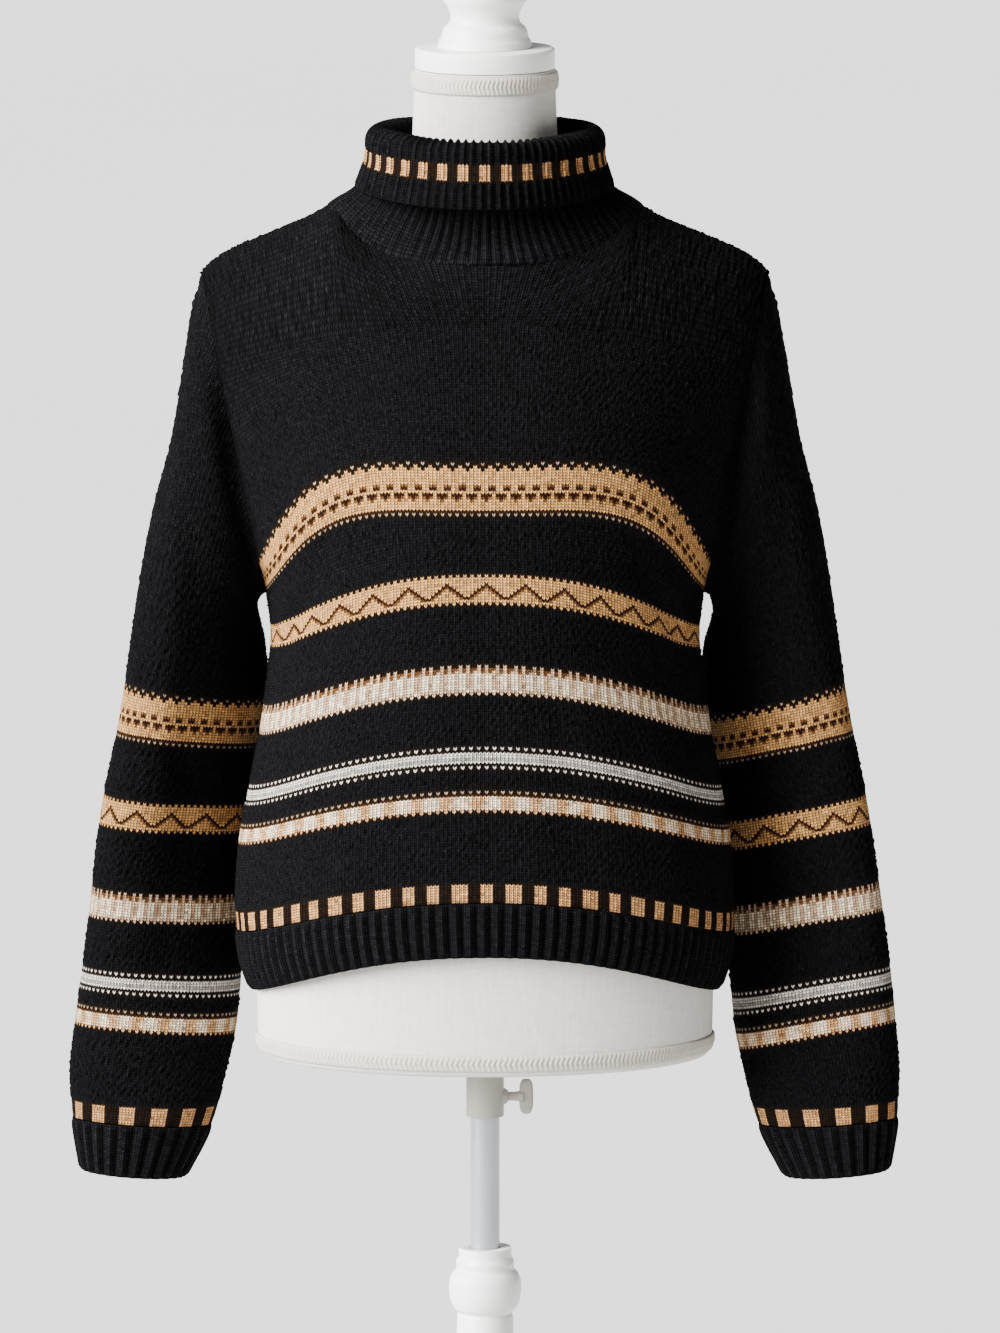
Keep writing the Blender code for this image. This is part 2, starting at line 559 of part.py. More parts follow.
def turned(name, profile, finish, collection, steps=ROUND_STEPS):
    """Solid of revolution about the pole's axis from an outer profile, top to bottom, closed at the axis."""
    points = [(0, 0, profile[0][1])] + [(r, 0, z) for r, z in profile] + [(0, 0, profile[-1][1])]
    mesh = bpy.data.meshes.new(name)
    mesh.from_pydata(points, [(i, i + 1) for i in range(len(points) - 1)], [])
    solid = add_object(name, mesh, finish, collection)
    screw = solid.modifiers.new("turn", "SCREW")
    screw.axis = "Z"
    screw.steps = screw.render_steps = steps
    screw.use_merge_vertices = True
    screw.merge_threshold = 0.00005
    return solid


def add_finial(collection):
    """White disc on the neck and the turned knob on the disc."""
    bottom = DISC_TOP - DISC_THICK
    disc = [(DISC_RADIUS - 0.0015, DISC_TOP), (DISC_RADIUS, DISC_TOP - 0.0015), (DISC_RADIUS, bottom + 0.001),
            (DISC_RADIUS - 0.001, bottom)]
    turned("neck_disc", disc, "white paint", collection)
    lift = DISC_TOP + CONTACT_GAP - FINIAL_PROFILE[-1][2]
    turned("finial", [(r, z + lift) for _, r, z in FINIAL_PROFILE], "white paint", collection)


def add_clamp(collection, cutters):
    """Plastic collar under the torso, round the pole, with a boss that the thumb screw passes through."""
    high = TORSO_ROWS[0][1] - CONTACT_GAP
    collar = cylinder("clamp_collar", CLAMP_RADIUS, CLAMP_LOW, high, collection, "grey plastic")
    boss = cylinder("clamp boss", CLAMP_BOSS_RADIUS, 0, CLAMP_BOSS_OUT, cutters, steps=20)
    boss.matrix_world = sideways(SCREW_Z)
    combine(collar, as_cutter(boss), "UNION")
    bore = cylinder("clamp bore", POLE_RADIUS + POLE_RUN, CLAMP_LOW - 0.01, high + 0.01, cutters)
    combine(collar, as_cutter(bore), "DIFFERENCE")
    hole = cylinder("clamp screw hole", SCREW_RADIUS + SCREW_HOLE_ROOM, 0, CLAMP_BOSS_OUT + 0.01, cutters, steps=20)
    hole.matrix_world = sideways(SCREW_Z)
    combine(collar, as_cutter(hole), "DIFFERENCE")


def sideways(height):
    """Turns a shape about the pole's axis to point along +X, at this height."""
    from mathutils import Matrix

    return Matrix.Translation((0, 0, height)) @ Matrix.Rotation(math.pi / 2, 4, "Y")


def add_thumb_screw(collection):
    """Shank along +X with a flat rounded wing, its origin on its own axis."""
    start = POLE_RADIUS + POLE_RUN + CONTACT_GAP
    shank = [(SCREW_RADIUS, SCREW_HEAD_FROM - 0.006), (SCREW_RADIUS, start)]
    neck = [(SCREW_RADIUS + 0.0012, SCREW_HEAD_FROM + 0.004), (SCREW_RADIUS + 0.0004, SCREW_HEAD_FROM - 0.001)]
    screw = turned("thumb_screw", neck + shank, "grey plastic", collection, steps=20)
    screw.matrix_world = sideways(SCREW_Z)
    mesh = bpy.data.meshes.new("wing")
    shape = bmesh.new()
    bmesh.ops.create_cube(shape, size=1)
    size = (2 * SCREW_WING_HALF, SCREW_WING_THICK, SCREW_HEAD_TO - SCREW_HEAD_FROM)
    bmesh.ops.scale(shape, vec=size, verts=shape.verts)
    bmesh.ops.translate(shape, vec=(0, 0, (SCREW_HEAD_TO + SCREW_HEAD_FROM) / 2), verts=shape.verts)
    shape.to_mesh(mesh)
    shape.free()
    return screw, mesh


def add_wing(screw, mesh, cutters):
    """The wing's rounded blade joined onto the shank."""
    wing = add_object("screw wing", mesh, None, cutters)
    wing.matrix_world = sideways(SCREW_Z)
    bevel = wing.modifiers.new("round", "BEVEL")
    bevel.width = 0.0024
    bevel.segments = 2
    combine(screw, as_cutter(wing), "UNION")


def add_pole(collection):
    cylinder("pole", POLE_RADIUS, POLE_LOW, POLE_HIGH, collection, "coated steel")


def add_column(collection, cutters):
    """Turned column with a blind bore that the pole stands in."""
    column = turned("column", [(r, z) for _, r, z in COLUMN_PROFILE], "white paint", collection)
    bore = cylinder("column bore", POLE_RADIUS + POLE_RUN, POLE_LOW - CONTACT_GAP, COLUMN_PROFILE[0][2] + 0.01, cutters)
    combine(column, as_cutter(bore), "DIFFERENCE")


def curve_points(points, samples):
    """Evenly spread points on a smooth curve through these points."""
    points = np.array(points)
    knots = np.concatenate([[0], np.cumsum(np.linalg.norm(np.diff(points, axis=0), axis=1))])
    return smooth(knots, points, np.linspace(0, knots[-1], samples))


def add_legs(collection, cutters):
    """Curved legs cut from board, each butted against the round hub."""
    outline = np.concatenate([curve_points(LEG_UPPER, LEG_SAMPLES), [(LEG_TOE_OUT, 0.014), (LEG_TOE_OUT - 0.004, 0.0)],
                              curve_points(LEG_LOWER, LEG_SAMPLES)[::-1]])
    hub = as_cutter(cylinder("leg seat", HUB_RADIUS + CONTACT_GAP, 0.10, 0.33, cutters))
    for number in range(LEG_COUNT):
        angle = LEG_FIRST_ANGLE + number * 2 * math.pi / LEG_COUNT
        curve = bpy.data.curves.new("leg outline", "CURVE")
        curve.dimensions = "2D"
        curve.fill_mode = "BOTH"
        curve.extrude = LEG_THICK / 2 - LEG_ROUND
        curve.bevel_depth = LEG_ROUND
        curve.offset = -LEG_ROUND
        curve.bevel_resolution = 0
        spline = curve.splines.new("POLY")
        spline.use_cyclic_u = True
        spline.points.add(len(outline) - 1)
        for point, (out, height) in zip(spline.points, outline):
            point.co = (out, height, 0, 1)
        guide = bpy.data.objects.new("leg guide", curve)
        collection.objects.link(guide)
        guide.rotation_euler = (math.pi / 2, 0, angle)
        bpy.context.view_layer.update()
        mesh = bpy.data.meshes.new_from_object(guide.evaluated_get(bpy.context.evaluated_depsgraph_get()))
        weld(mesh)
        leg = add_object(f"leg_{number + 1}", mesh, "white paint", collection)
        leg.matrix_world = guide.matrix_world
        leg.data.set_sharp_from_angle(angle=math.radians(40))
        bpy.data.objects.remove(guide)
        combine(leg, hub, "DIFFERENCE")


def weld(mesh):
    """Joins a curve's caps to its sides."""
    shape = bmesh.new()
    shape.from_mesh(mesh)
    bmesh.ops.remove_doubles(shape, verts=shape.verts, dist=0.00001)
    bmesh.ops.recalc_face_normals(shape, faces=shape.faces)
    shape.to_mesh(mesh)
    shape.free()


def main():
    for thing in list(bpy.data.objects):
        bpy.data.objects.remove(thing)
    parts = new_collection("turtleneck sweater on dress form")
    cutters = new_collection("cutters")
    add_panels(parts)
    add_sleeves(parts)
    add_collar(parts)
    add_torso(parts, cutters)
    add_braid("neck_braid", NECK_BRAID_LOW, NECK_BRAID_HIGH, parts)
    add_braid("base_braid", BASE_BRAID_LOW, BASE_BRAID_HIGH, parts)
    add_finial(parts)
    add_clamp(parts, cutters)
    screw, wing = add_thumb_screw(parts)
    add_wing(screw, wing, cutters)
    add_pole(parts)
    add_column(parts, cutters)
    add_legs(parts, cutters)


main()
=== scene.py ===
"""Looks of the chunky turtleneck sweater and the dress form that wears it.

Metres, +Z up, the front faces -Y. Every cloth piece is a fine shell over the same sections as its solid:
two columns of faces for each stitch and one row for each course, leant into the V of a knit stitch.
Colours follow charts of stitches, and ribs, bumps and folds are offsets along the cloth's normal.
"""

import json
import math

import bpy
import numpy as np
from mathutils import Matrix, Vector

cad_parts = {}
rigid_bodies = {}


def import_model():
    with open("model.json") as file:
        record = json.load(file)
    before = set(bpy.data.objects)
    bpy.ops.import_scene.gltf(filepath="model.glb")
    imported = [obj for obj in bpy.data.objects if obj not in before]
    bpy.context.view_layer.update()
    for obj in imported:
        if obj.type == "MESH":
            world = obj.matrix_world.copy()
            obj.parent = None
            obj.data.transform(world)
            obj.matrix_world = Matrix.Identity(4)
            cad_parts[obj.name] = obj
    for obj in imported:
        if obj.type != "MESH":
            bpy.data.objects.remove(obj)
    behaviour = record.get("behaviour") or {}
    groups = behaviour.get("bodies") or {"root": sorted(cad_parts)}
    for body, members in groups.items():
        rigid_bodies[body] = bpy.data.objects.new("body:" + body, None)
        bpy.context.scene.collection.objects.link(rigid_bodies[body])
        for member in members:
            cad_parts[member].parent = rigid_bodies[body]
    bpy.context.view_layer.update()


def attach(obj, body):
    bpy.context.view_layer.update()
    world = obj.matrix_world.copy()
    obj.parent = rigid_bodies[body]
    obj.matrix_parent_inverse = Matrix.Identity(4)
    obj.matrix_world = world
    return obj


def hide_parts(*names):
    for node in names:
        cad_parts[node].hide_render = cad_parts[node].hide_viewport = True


for thing in list(bpy.data.objects):
    bpy.data.objects.remove(thing)
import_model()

# Cloth
PANEL_WALL = 0.0025
RIB_WALL = 0.0030
COLLAR_WALL = 0.0034
SEAM_TRIM = 0.0003  # each piece stops this far short of its seam line
ARMHOLE_CLEAR_TOP, ARMHOLE_CLEAR_UNDERARM = 0.0015, 0.0030  # from the panels' edge out to a sleeve's start

# Points of the solids' sections, from which each piece's length is measured
NECK_COLUMNS, SIDE_COLUMNS = 18, 5  # across the neckline, and from each neck point to the side
SLEEVE_POINTS, COLLAR_POINTS = 18, 36

# Points of the fine lines from which the stitches' places are measured
ACROSS_SAMPLES, UP_SAMPLES, RING_SAMPLES, SLEEVE_SAMPLES = 1601, 1201, 801, 40
COLLAR_SAMPLES, ARMHOLE_SAMPLES = 601, 301

# Lower body, one row a section, hem to underarm: the side seam, then the middle of the front and back.
# name, side_z, half_width, side_y, front_z, front_y, front_arch, back_z, back_y, back_arch
BODY_ROWS = (
    ("hem edge", 0.858, 0.1880, 0.004, 0.9040, -0.1250, 2.2, 0.866, 0.1180, 2.0),
    ("rib middle", 0.883, 0.1955, 0.004, 0.9270, -0.1300, 2.2, 0.890, 0.1240, 2.0),
    ("rib top", 0.906, 0.1985, 0.004, 0.9493, -0.1325, 2.2, 0.914, 0.1265, 2.0),
    ("blocks top", 0.921, 0.1990, 0.004, 0.9646, -0.1330, 2.2, 0.929, 0.1265, 2.0),
    ("stripe", 0.984, 0.1950, 0.005, 1.0309, -0.1340, 2.2, 0.992, 0.1240, 2.0),
    ("white stripe", 1.016, 0.1890, 0.005, 1.0670, -0.1350, 2.2, 1.026, 0.1215, 2.0),
    ("cream band", 1.076, 0.1780, 0.006, 1.1290, -0.1380, 2.2, 1.088, 0.1175, 2.0),
    ("zigzag band", 1.145, 0.1705, 0.006, 1.2020, -0.1430, 2.4, 1.168, 0.1150, 2.0),
)
BODY_FULLNESS = 2.35

# Armhole, an upright loop, and the yoke's sections that end on it.
UNDERARM_OUT, UNDERARM_Z = 0.174, 1.180
CORNER_OUT, CORNER_Z = 0.226, 1.434
ARMHOLE_Y, ARMHOLE_HALF_DEPTH = 0.006, 0.050
# name, armhole_angle, middle_z, middle_y, fullness, edge_power, arch
FRONT_YOKE_ROWS = (
    ("wide band bottom", 0.0, 1.2601, -0.1450, 2.4, 2.0, 2.8),
    ("wide band top", 38.0, 1.3014, -0.1430, 2.6, 1.6, 3.2),
    ("chest", 76.0, 1.3600, -0.1280, 2.4, 1.3, 3.0),
    ("upper chest", 118.0, 1.4080, -0.1090, 2.2, 1.15, 2.2),
)
BACK_YOKE_ROWS = (
    ("blade bottom", 0.0, 1.2050, 0.1150, 2.4, 2.0, 2.4),
    ("blade", 38.0, 1.2550, 0.1180, 2.6, 1.6, 2.8),
    ("upper blade", 76.0, 1.3300, 0.1190, 2.4, 1.3, 2.6),
    ("upper back", 118.0, 1.4200, 0.1120, 2.2, 1.15, 2.2),
)

# Neckline ring and shoulder seam.
NECK_HALF_WIDTH = 0.1215
NECK_SIDE_Y, NECK_SIDE_Z = 0.004, 1.4868
NECK_FRONT_Y, NECK_FRONT_Z = -0.0940, 1.4530
NECK_BACK_Y, NECK_BACK_Z = 0.0900, 1.4940
NECK_SHARE = 2 / math.pi * math.asin(NECK_HALF_WIDTH / CORNER_OUT)  # of the half width, as across counts it
SHOULDER_SLOPE = 0.41
SHOULDER_ROUND_FROM = 0.190
YOKE_LEAN_MIDDLE, YOKE_LEAN_SHOULDER = math.radians(50), math.radians(88)

# Sleeve sections, armhole to cuff, as seen from the front: the outer edge and the inner edge.
# name, outer_out, outer_z, inner_out, inner_z, centre_y, half_depth, inner_back
SLEEVE_ROWS = (
    ("cap", 0.2362, 1.3830, 0.1815, 1.1740, 0.009, 0.0570, 0.010),
    ("upper arm", 0.2490, 1.3050, 0.1845, 1.1600, 0.012, 0.0570, 0.020),
    ("below notch", 0.2650, 1.2420, 0.1822, 1.1460, 0.016, 0.0530, 0.032),
    ("arm", 0.2765, 1.1800, 0.1785, 1.1290, 0.020, 0.0490, 0.040),
    ("band one top", 0.2875, 1.1058, 0.1755, 1.0880, 0.025, 0.0450, 0.046),
    ("band one bottom", 0.2942, 1.0620, 0.1800, 1.0480, 0.028, 0.0430, 0.048),
    ("elbow", 0.3035, 1.0130, 0.1870, 1.0010, 0.030, 0.0410, 0.048),
    ("band three", 0.3150, 0.9380, 0.1950, 0.9290, 0.030, 0.0390, 0.042),
    ("band four", 0.3230, 0.8767, 0.1980, 0.8690, 0.027, 0.0370, 0.032),
    ("band five", 0.3286, 0.8273, 0.2020, 0.8200, 0.023, 0.0350, 0.022),
    ("above cuff", 0.3323, 0.7830, 0.2120, 0.7780, 0.019, 0.0330, 0.014),
    ("cuff seam", 0.3310, 0.7505, 0.2215, 0.7420, 0.017, 0.0310, 0.010),
    ("cuff edge", 0.3245, 0.7070, 0.2430, 0.6995, 0.015, 0.0270, 0.006),
)
CUFF_FROM_ROW = "cuff seam"

# Folded collar, neck seam to the flared edge: the half width and depths of each ring, then its heights.
# name, half_width, front_depth, back_depth, side_z, front_z, back_z
COLLAR_ROWS = (
    ("neck rib", 0.1055, 0.0850, 0.0805, 1.4985, 1.4690, 1.5030),
    ("neck", 0.0930, 0.0780, 0.0750, 1.5100, 1.4870, 1.5130),
    ("under fold", 0.0835, 0.0765, 0.0740, 1.5250, 1.5120, 1.5260),
    ("inner wall", 0.0752, 0.0755, 0.0735, 1.5420, 1.5400, 1.5420),
)
COLLAR_START = 0.0095  # share of the collar's length by which it clears the panels' edge
ROLL_RADIUS = 0.0090
ROLL_STEPS = 6
OUTER_ROWS = (
    ("stripe", 0.0935, 0.0955, 0.0925, 1.5310, 1.5275, 1.5300),
    ("skirt", 0.0974, 0.1000, 0.0955, 1.5160, 1.5120, 1.5150),
    ("flared edge", 0.1018, 0.1040, 0.0985, 1.5040, 1.4980, 1.5020),
)

# Dress form
# name, z, half_width, front_depth, back_depth
TORSO_ROWS = (
    ("underside", 0.8030, 0.1715, 0.1005, 0.0975),
    ("edge round", 0.8050, 0.1780, 0.1070, 0.1040),
    ("braid low", 0.8085, 0.1806, 0.1090, 0.1060),
    ("braid high", 0.8220, 0.1826, 0.1110, 0.1080),
    ("hip", 0.9000, 0.1835, 0.1120, 0.1090),
    ("upper hip", 0.9600, 0.1760, 0.1070, 0.1040),
    ("waist side", 1.0300, 0.1490, 0.0960, 0.0900),
    ("waist", 1.0900, 0.1330, 0.0900, 0.0830),
    ("ribs", 1.1600, 0.1400, 0.1020, 0.0900),
    ("under bust", 1.2200, 0.1500, 0.1230, 0.0980),
    ("bust", 1.2700, 0.1570, 0.1320, 0.1030),
    ("chest", 1.3300, 0.1590, 0.1200, 0.1060),
    ("armhole", 1.3800, 0.1700, 0.1000, 0.1030),
    ("shoulder point", 1.4200, 0.1850, 0.0800, 0.0900),
    ("shoulder", 1.4440, 0.1920, 0.0640, 0.0720),
    ("shoulder top", 1.4554, 0.1875, 0.0550, 0.0620),
    ("shoulder slope", 1.4661, 0.1640, 0.0490, 0.0575),
    ("shoulder neck", 1.4779, 0.1345, 0.0450, 0.0560),
    ("neck base", 1.4885, 0.1050, 0.0500, 0.0560),
    ("neck root", 1.4985, 0.0740, 0.0560, 0.0570),
    ("neck", 1.5120, 0.0600, 0.0565, 0.0565),
    ("neck braid low", 1.5830, 0.0564, 0.0562, 0.0562),
    ("neck braid high", 1.5975, 0.0562, 0.0560, 0.0560),
    ("neck top", 1.5990, 0.0556, 0.0554, 0.0554),
)

# Stand
POLE_RADIUS = 0.0118
POLE_LOW, POLE_HIGH = 0.480, 1.100
POLE_RUN = 0.0007  # radial room round the pole in the clamp, the column and the form
FORM_DROP = 0.100
BORE_TOP_ROOM = 0.020
CLAMP_RADIUS, CLAMP_LOW = 0.0152, 0.7527
CLAMP_BOSS_RADIUS, CLAMP_BOSS_OUT = 0.0062, 0.0185
SCREW_Z = 0.7685
SCREW_RADIUS, SCREW_HOLE_ROOM = 0.0036, 0.0004
SCREW_HEAD_FROM, SCREW_HEAD_TO = 0.0275, 0.0388
SCREW_WING_HALF, SCREW_WING_THICK = 0.0145, 0.0050
CONTACT_GAP = 0.0003

# Profiles, axis outwards, top to bottom: radius and height of each point down the turned side.
DISC_TOP, DISC_RADIUS, DISC_THICK = 1.6160, 0.0556, 0.0165
FINIAL_PROFILE = (
    ("crown", 0.0060, 1.7120),
    ("crown side", 0.0180, 1.7080),
    ("knob top", 0.0290, 1.6970),
    ("knob", 0.0348, 1.6820),
    ("knob low", 0.0352, 1.6690),
    ("under knob", 0.0335, 1.6560),
    ("neck top", 0.0290, 1.6480),
    ("neck", 0.0273, 1.6420),
    ("neck low", 0.0285, 1.6370),
    ("bell step", 0.0325, 1.6330),
    ("bell ring", 0.0338, 1.6300),
    ("bell ring low", 0.0345, 1.6262),
    ("bell", 0.0365, 1.6225),
    ("bell foot", 0.0378, 1.6175),
)
COLUMN_PROFILE = (
    ("cap rim", 0.0212, 0.6450),
    ("cap side", 0.0213, 0.6380),
    ("bead top", 0.0222, 0.6360),
    ("bead", 0.0236, 0.6325),
    ("bead low", 0.0232, 0.6290),
    ("groove", 0.0236, 0.6275),
    ("bulb shoulder", 0.0268, 0.6235),
    ("bulb high", 0.0288, 0.6180),
    ("bulb", 0.0292, 0.6110),
    ("bulb low", 0.0280, 0.6020),
    ("bulb foot", 0.0250, 0.5950),
    ("bulb end", 0.0215, 0.5918),
    ("shaft top", 0.0225, 0.5890),
    ("shaft", 0.0240, 0.5000),
    ("shaft swell", 0.0255, 0.4200),
    ("shaft low", 0.0225, 0.3450),
    ("ring top", 0.0215, 0.3320),
    ("ring", 0.0300, 0.3250),
    ("ring low", 0.0300, 0.3180),
    ("hub neck", 0.0240, 0.3100),
    ("hub top", 0.0340, 0.2950),
    ("hub", 0.0345, 0.2850),
    ("hub foot", 0.0345, 0.1500),
    ("drop top", 0.0300, 0.1380),
    ("drop", 0.0240, 0.1250),
    ("drop low", 0.0120, 0.1130),
)
LEG_THICK = 0.024
LEG_COUNT, LEG_FIRST_ANGLE = 4, math.radians(-135)
# Leg outline in its own upright plane: distance from the axis and height, hub to toe along each side.
LEG_UPPER = ((0.030, 0.262), (0.075, 0.272), (0.125, 0.246), (0.170, 0.185), (0.210, 0.110),
             (0.250, 0.054), (0.290, 0.030))
LEG_LOWER = ((0.030, 0.168), (0.075, 0.184), (0.115, 0.165), (0.150, 0.120), (0.185, 0.062),
             (0.215, 0.022), (0.243, 0.000))
LEG_TOE_OUT, LEG_TOE_HIGH, LEG_TOE_BACK = 0.297, 0.020, 0.006  # and how far its lower end lies further in

# Trim
BRAID_THICK = 0.0022
NECK_BRAID_LOW, NECK_BRAID_HIGH = 1.5830, 1.5975
BASE_BRAID_LOW, BASE_BRAID_HIGH = 0.8085, 0.8220


def smooth(knots, rows, at):
    """Cubic curve through the rows at the knots that never swings past them: each inner slope is the
    harmonic mean of the two neighbouring ones, or nothing where those differ in sign."""
    knots, rows, at = np.asarray(knots, float), np.asarray(rows, float), np.asarray(at, float)
    spans = np.diff(knots).reshape(-1, *[1] * (rows.ndim - 1))
    steps = np.diff(rows, axis=0) / spans
    before, after = steps[:-1], steps[1:]
    total = before + after
    inner = np.where(before * after > 0, 2 * before * after / np.where(total == 0, 1, total), 0)
    slopes = np.concatenate([steps[:1], inner, steps[-1:]])
    low = np.clip(np.searchsorted(knots, at, side="right") - 1, 0, len(knots) - 2)
    step = (knots[low + 1] - knots[low]).reshape(-1, *[1] * (rows.ndim - 1))
    part = (at - knots[low]).reshape(step.shape) / step
    hold, turn = 2 * part**3 - 3 * part**2 + 1, part**3 - 2 * part**2 + part
    return (hold * rows[low] + (1 - hold) * rows[low + 1]
            + step * (turn * slopes[low] + (part**3 - part**2) * slopes[low + 1]))


def knots_of(rows):
    """Distance along the cloth of each section, from the mean gap between one and the next."""
    gaps = np.linalg.norm(np.diff(rows, axis=0), axis=2).mean(axis=1)
    return np.concatenate([[0], np.cumsum(gaps)])


def armhole(angle, face):
    """Upright ellipse: 0 at the underarm, pi at the shoulder corner, over the front or the back."""
    rise = (1 - np.cos(angle)) / 2
    return (UNDERARM_OUT + (CORNER_OUT - UNDERARM_OUT) * rise,
            ARMHOLE_Y + face * ARMHOLE_HALF_DEPTH * np.sin(angle),
            UNDERARM_Z + (CORNER_Z - UNDERARM_Z) * rise)


def section(across, edge, middle_y, middle_z, fullness, edge_power, arch):
    """Half ring from side to side: y follows a superellipse, and z rises towards the middle."""
    half_width, edge_y, edge_z = edge
    side = np.sin(across * math.pi / 2)
    reach = np.abs(side)
    x = half_width * side
    y = edge_y + (middle_y - edge_y) * (1 - reach**fullness) ** (1 / edge_power)
    z = middle_z + (edge_z - middle_z) * reach**arch
    return np.stack([x, y, z], axis=-1)


def top_edge(across, face):
    """The neckline's half ring between the neck points, then the shoulder seam out to each corner."""
    neck_y, neck_z = (NECK_FRONT_Y, NECK_FRONT_Z) if face < 0 else (NECK_BACK_Y, NECK_BACK_Z)
    turn = np.clip(across / NECK_SHARE, -1, 1) * math.pi / 2
    out = np.maximum(CORNER_OUT * np.abs(np.sin(across * math.pi / 2)), NECK_HALF_WIDTH)
    on_neck = np.abs(across) < NECK_SHARE
    line = NECK_SIDE_Z - SHOULDER_SLOPE * (out - NECK_HALF_WIDTH)
    end_drop = NECK_SIDE_Z - SHOULDER_SLOPE * (CORNER_OUT - NECK_HALF_WIDTH) - CORNER_Z
    bend = np.maximum(out - SHOULDER_ROUND_FROM, 0) / (CORNER_OUT - SHOULDER_ROUND_FROM)
    x = np.where(on_neck, NECK_HALF_WIDTH * np.sin(turn), np.sign(across) * out)
    y = np.where(on_neck, neck_y * np.cos(turn) + NECK_SIDE_Y * np.sin(turn) ** 2,
                 NECK_SIDE_Y + (ARMHOLE_Y - NECK_SIDE_Y) * bend)
    z = np.where(on_neck, neck_z + (NECK_SIDE_Z - neck_z) * np.sin(turn) ** 4,
                 line - end_drop * bend**3)
    return np.stack([x, y, z], axis=-1)


def body_rows(across, face):
    """All sections of one panel from the hem edge to the upper chest, each as an array of points."""
    rows = []
    for _, side_z, half_width, side_y, front_z, front_y, front_arch, back_z, back_y, back_arch in BODY_ROWS:
        middle_y, middle_z, arch = (front_y, front_z, front_arch) if face < 0 else (back_y, back_z, back_arch)
        rows.append(section(across, (half_width, side_y, side_z), middle_y, middle_z, BODY_FULLNESS, 2, arch))
    for _, angle, middle_z, middle_y, fullness, edge_power, arch in (
        FRONT_YOKE_ROWS if face < 0 else BACK_YOKE_ROWS
    ):
        edge = armhole(math.radians(angle), face)
        rows.append(section(across, edge, middle_y, middle_z, fullness, edge_power, arch))
    return np.array(rows)


def panel_surface(across, up, face):
    """Panel of cloth. across runs side to side, -1 to 1. up is 0 at the hem edge and 1 at the upper
    chest section, in cloth length, and 1 to 2 over the shoulder, along a part of an ellipse."""
    rows = body_rows(across, face)
    knots = knots_of(body_rows(panel_across(), face))
    lower = smooth(knots, rows, np.minimum(up, 1) * knots[-1])
    chest, top = rows[-1], top_edge(across, face)
    off_middle = np.minimum(np.abs(across) / NECK_SHARE, 1)[:, None] ** 1.5
    lean = YOKE_LEAN_MIDDLE + (YOKE_LEAN_SHOULDER - YOKE_LEAN_MIDDLE) * off_middle
    along = np.clip(up - 1, 0, 1)[:, None, None]
    back_part = (1 - np.cos(along * lean)) / (1 - np.cos(lean))
    rise_part = np.sin(along * lean) / np.sin(lean)
    mix = np.concatenate([along + 0 * lean, back_part, rise_part], axis=-1)
    yoke = chest + (top - chest) * mix
    return np.where((up <= 1)[:, None, None], lower, yoke)


def up_of(row_name, face):
    """The up value of a named section."""
    knots = knots_of(body_rows(panel_across(), face))
    names = [row[0] for row in BODY_ROWS]
    return knots[names.index(row_name)] / knots[-1]


def sleeve_rings(turn, side):
    """Sections of a sleeve, armhole first: leaning ellipses through an outer and an inner edge point."""
    corner = np.array([CORNER_OUT + ARMHOLE_CLEAR_TOP, ARMHOLE_Y, CORNER_Z])
    underarm = np.array([UNDERARM_OUT + ARMHOLE_CLEAR_UNDERARM, ARMHOLE_Y, UNDERARM_Z])
    depth = np.array([0, ARMHOLE_HALF_DEPTH, 0])
    rings = [(corner, underarm, depth)]
    for _, outer_out, outer_z, inner_out, inner_z, centre_y, half_depth, inner_back in SLEEVE_ROWS:
        outer = np.array([outer_out, centre_y - inner_back / 2, outer_z])
        inner = np.array([inner_out, centre_y + inner_back, inner_z])
        rings.append((outer, inner, np.array([0, half_depth, 0])))
    wave, swing = np.cos(turn)[:, None], np.sin(turn)[:, None]
    points = [(outer + inner) / 2 + (outer - inner) / 2 * wave + depth * swing
              for outer, inner, depth in rings]
    return np.array(points) * np.array([side, 1, 1])


def all_round(points):
    """Evenly spread turns of a ring."""
    return np.linspace(0, 2 * math.pi, points, endpoint=False)


def sleeve_surface(turn, along, side):
    """Sleeve tube. turn goes round it from the outer edge, and along is 0 at the armhole and 1 at the edge
    of the cuff."""
    knots = knots_of(sleeve_rings(all_round(SLEEVE_POINTS), side))
    return smooth(knots, sleeve_rings(turn, side), along * knots[-1])


def sleeve_share(row_name):
    """Where along the sleeve a named section lies, and the sleeve's mean length."""
    knots = knots_of(sleeve_rings(np.linspace(0, 2 * math.pi, SLEEVE_SAMPLES), 1))
    return knots[1 + [row[0] for row in SLEEVE_ROWS].index(row_name)] / knots[-1], knots[-1]


def collar_ring(turn, half_width, front_depth, back_depth, side_z, front_z, back_z):
    """Level-ish ring: an ellipse with its own depth in front and behind, whose height varies round it."""
    front = np.cos(turn)
    depth = np.where(front > 0, front_depth, back_depth)
    height = np.where(front > 0, front_z, back_z)
    blend = np.abs(front) ** 2
    return np.stack([half_width * np.sin(turn), -depth * front, side_z + (height - side_z) * blend], axis=-1)


def neckline(turn):
    """The ring on which the panels' necklines lie, front at turn 0."""
    half_turn = np.arcsin(np.sin(turn)) / (math.pi / 2) * NECK_SHARE
    in_front = (np.cos(turn) > 0)[:, None]
    return np.where(in_front, top_edge(half_turn, -1), top_edge(half_turn, 1))


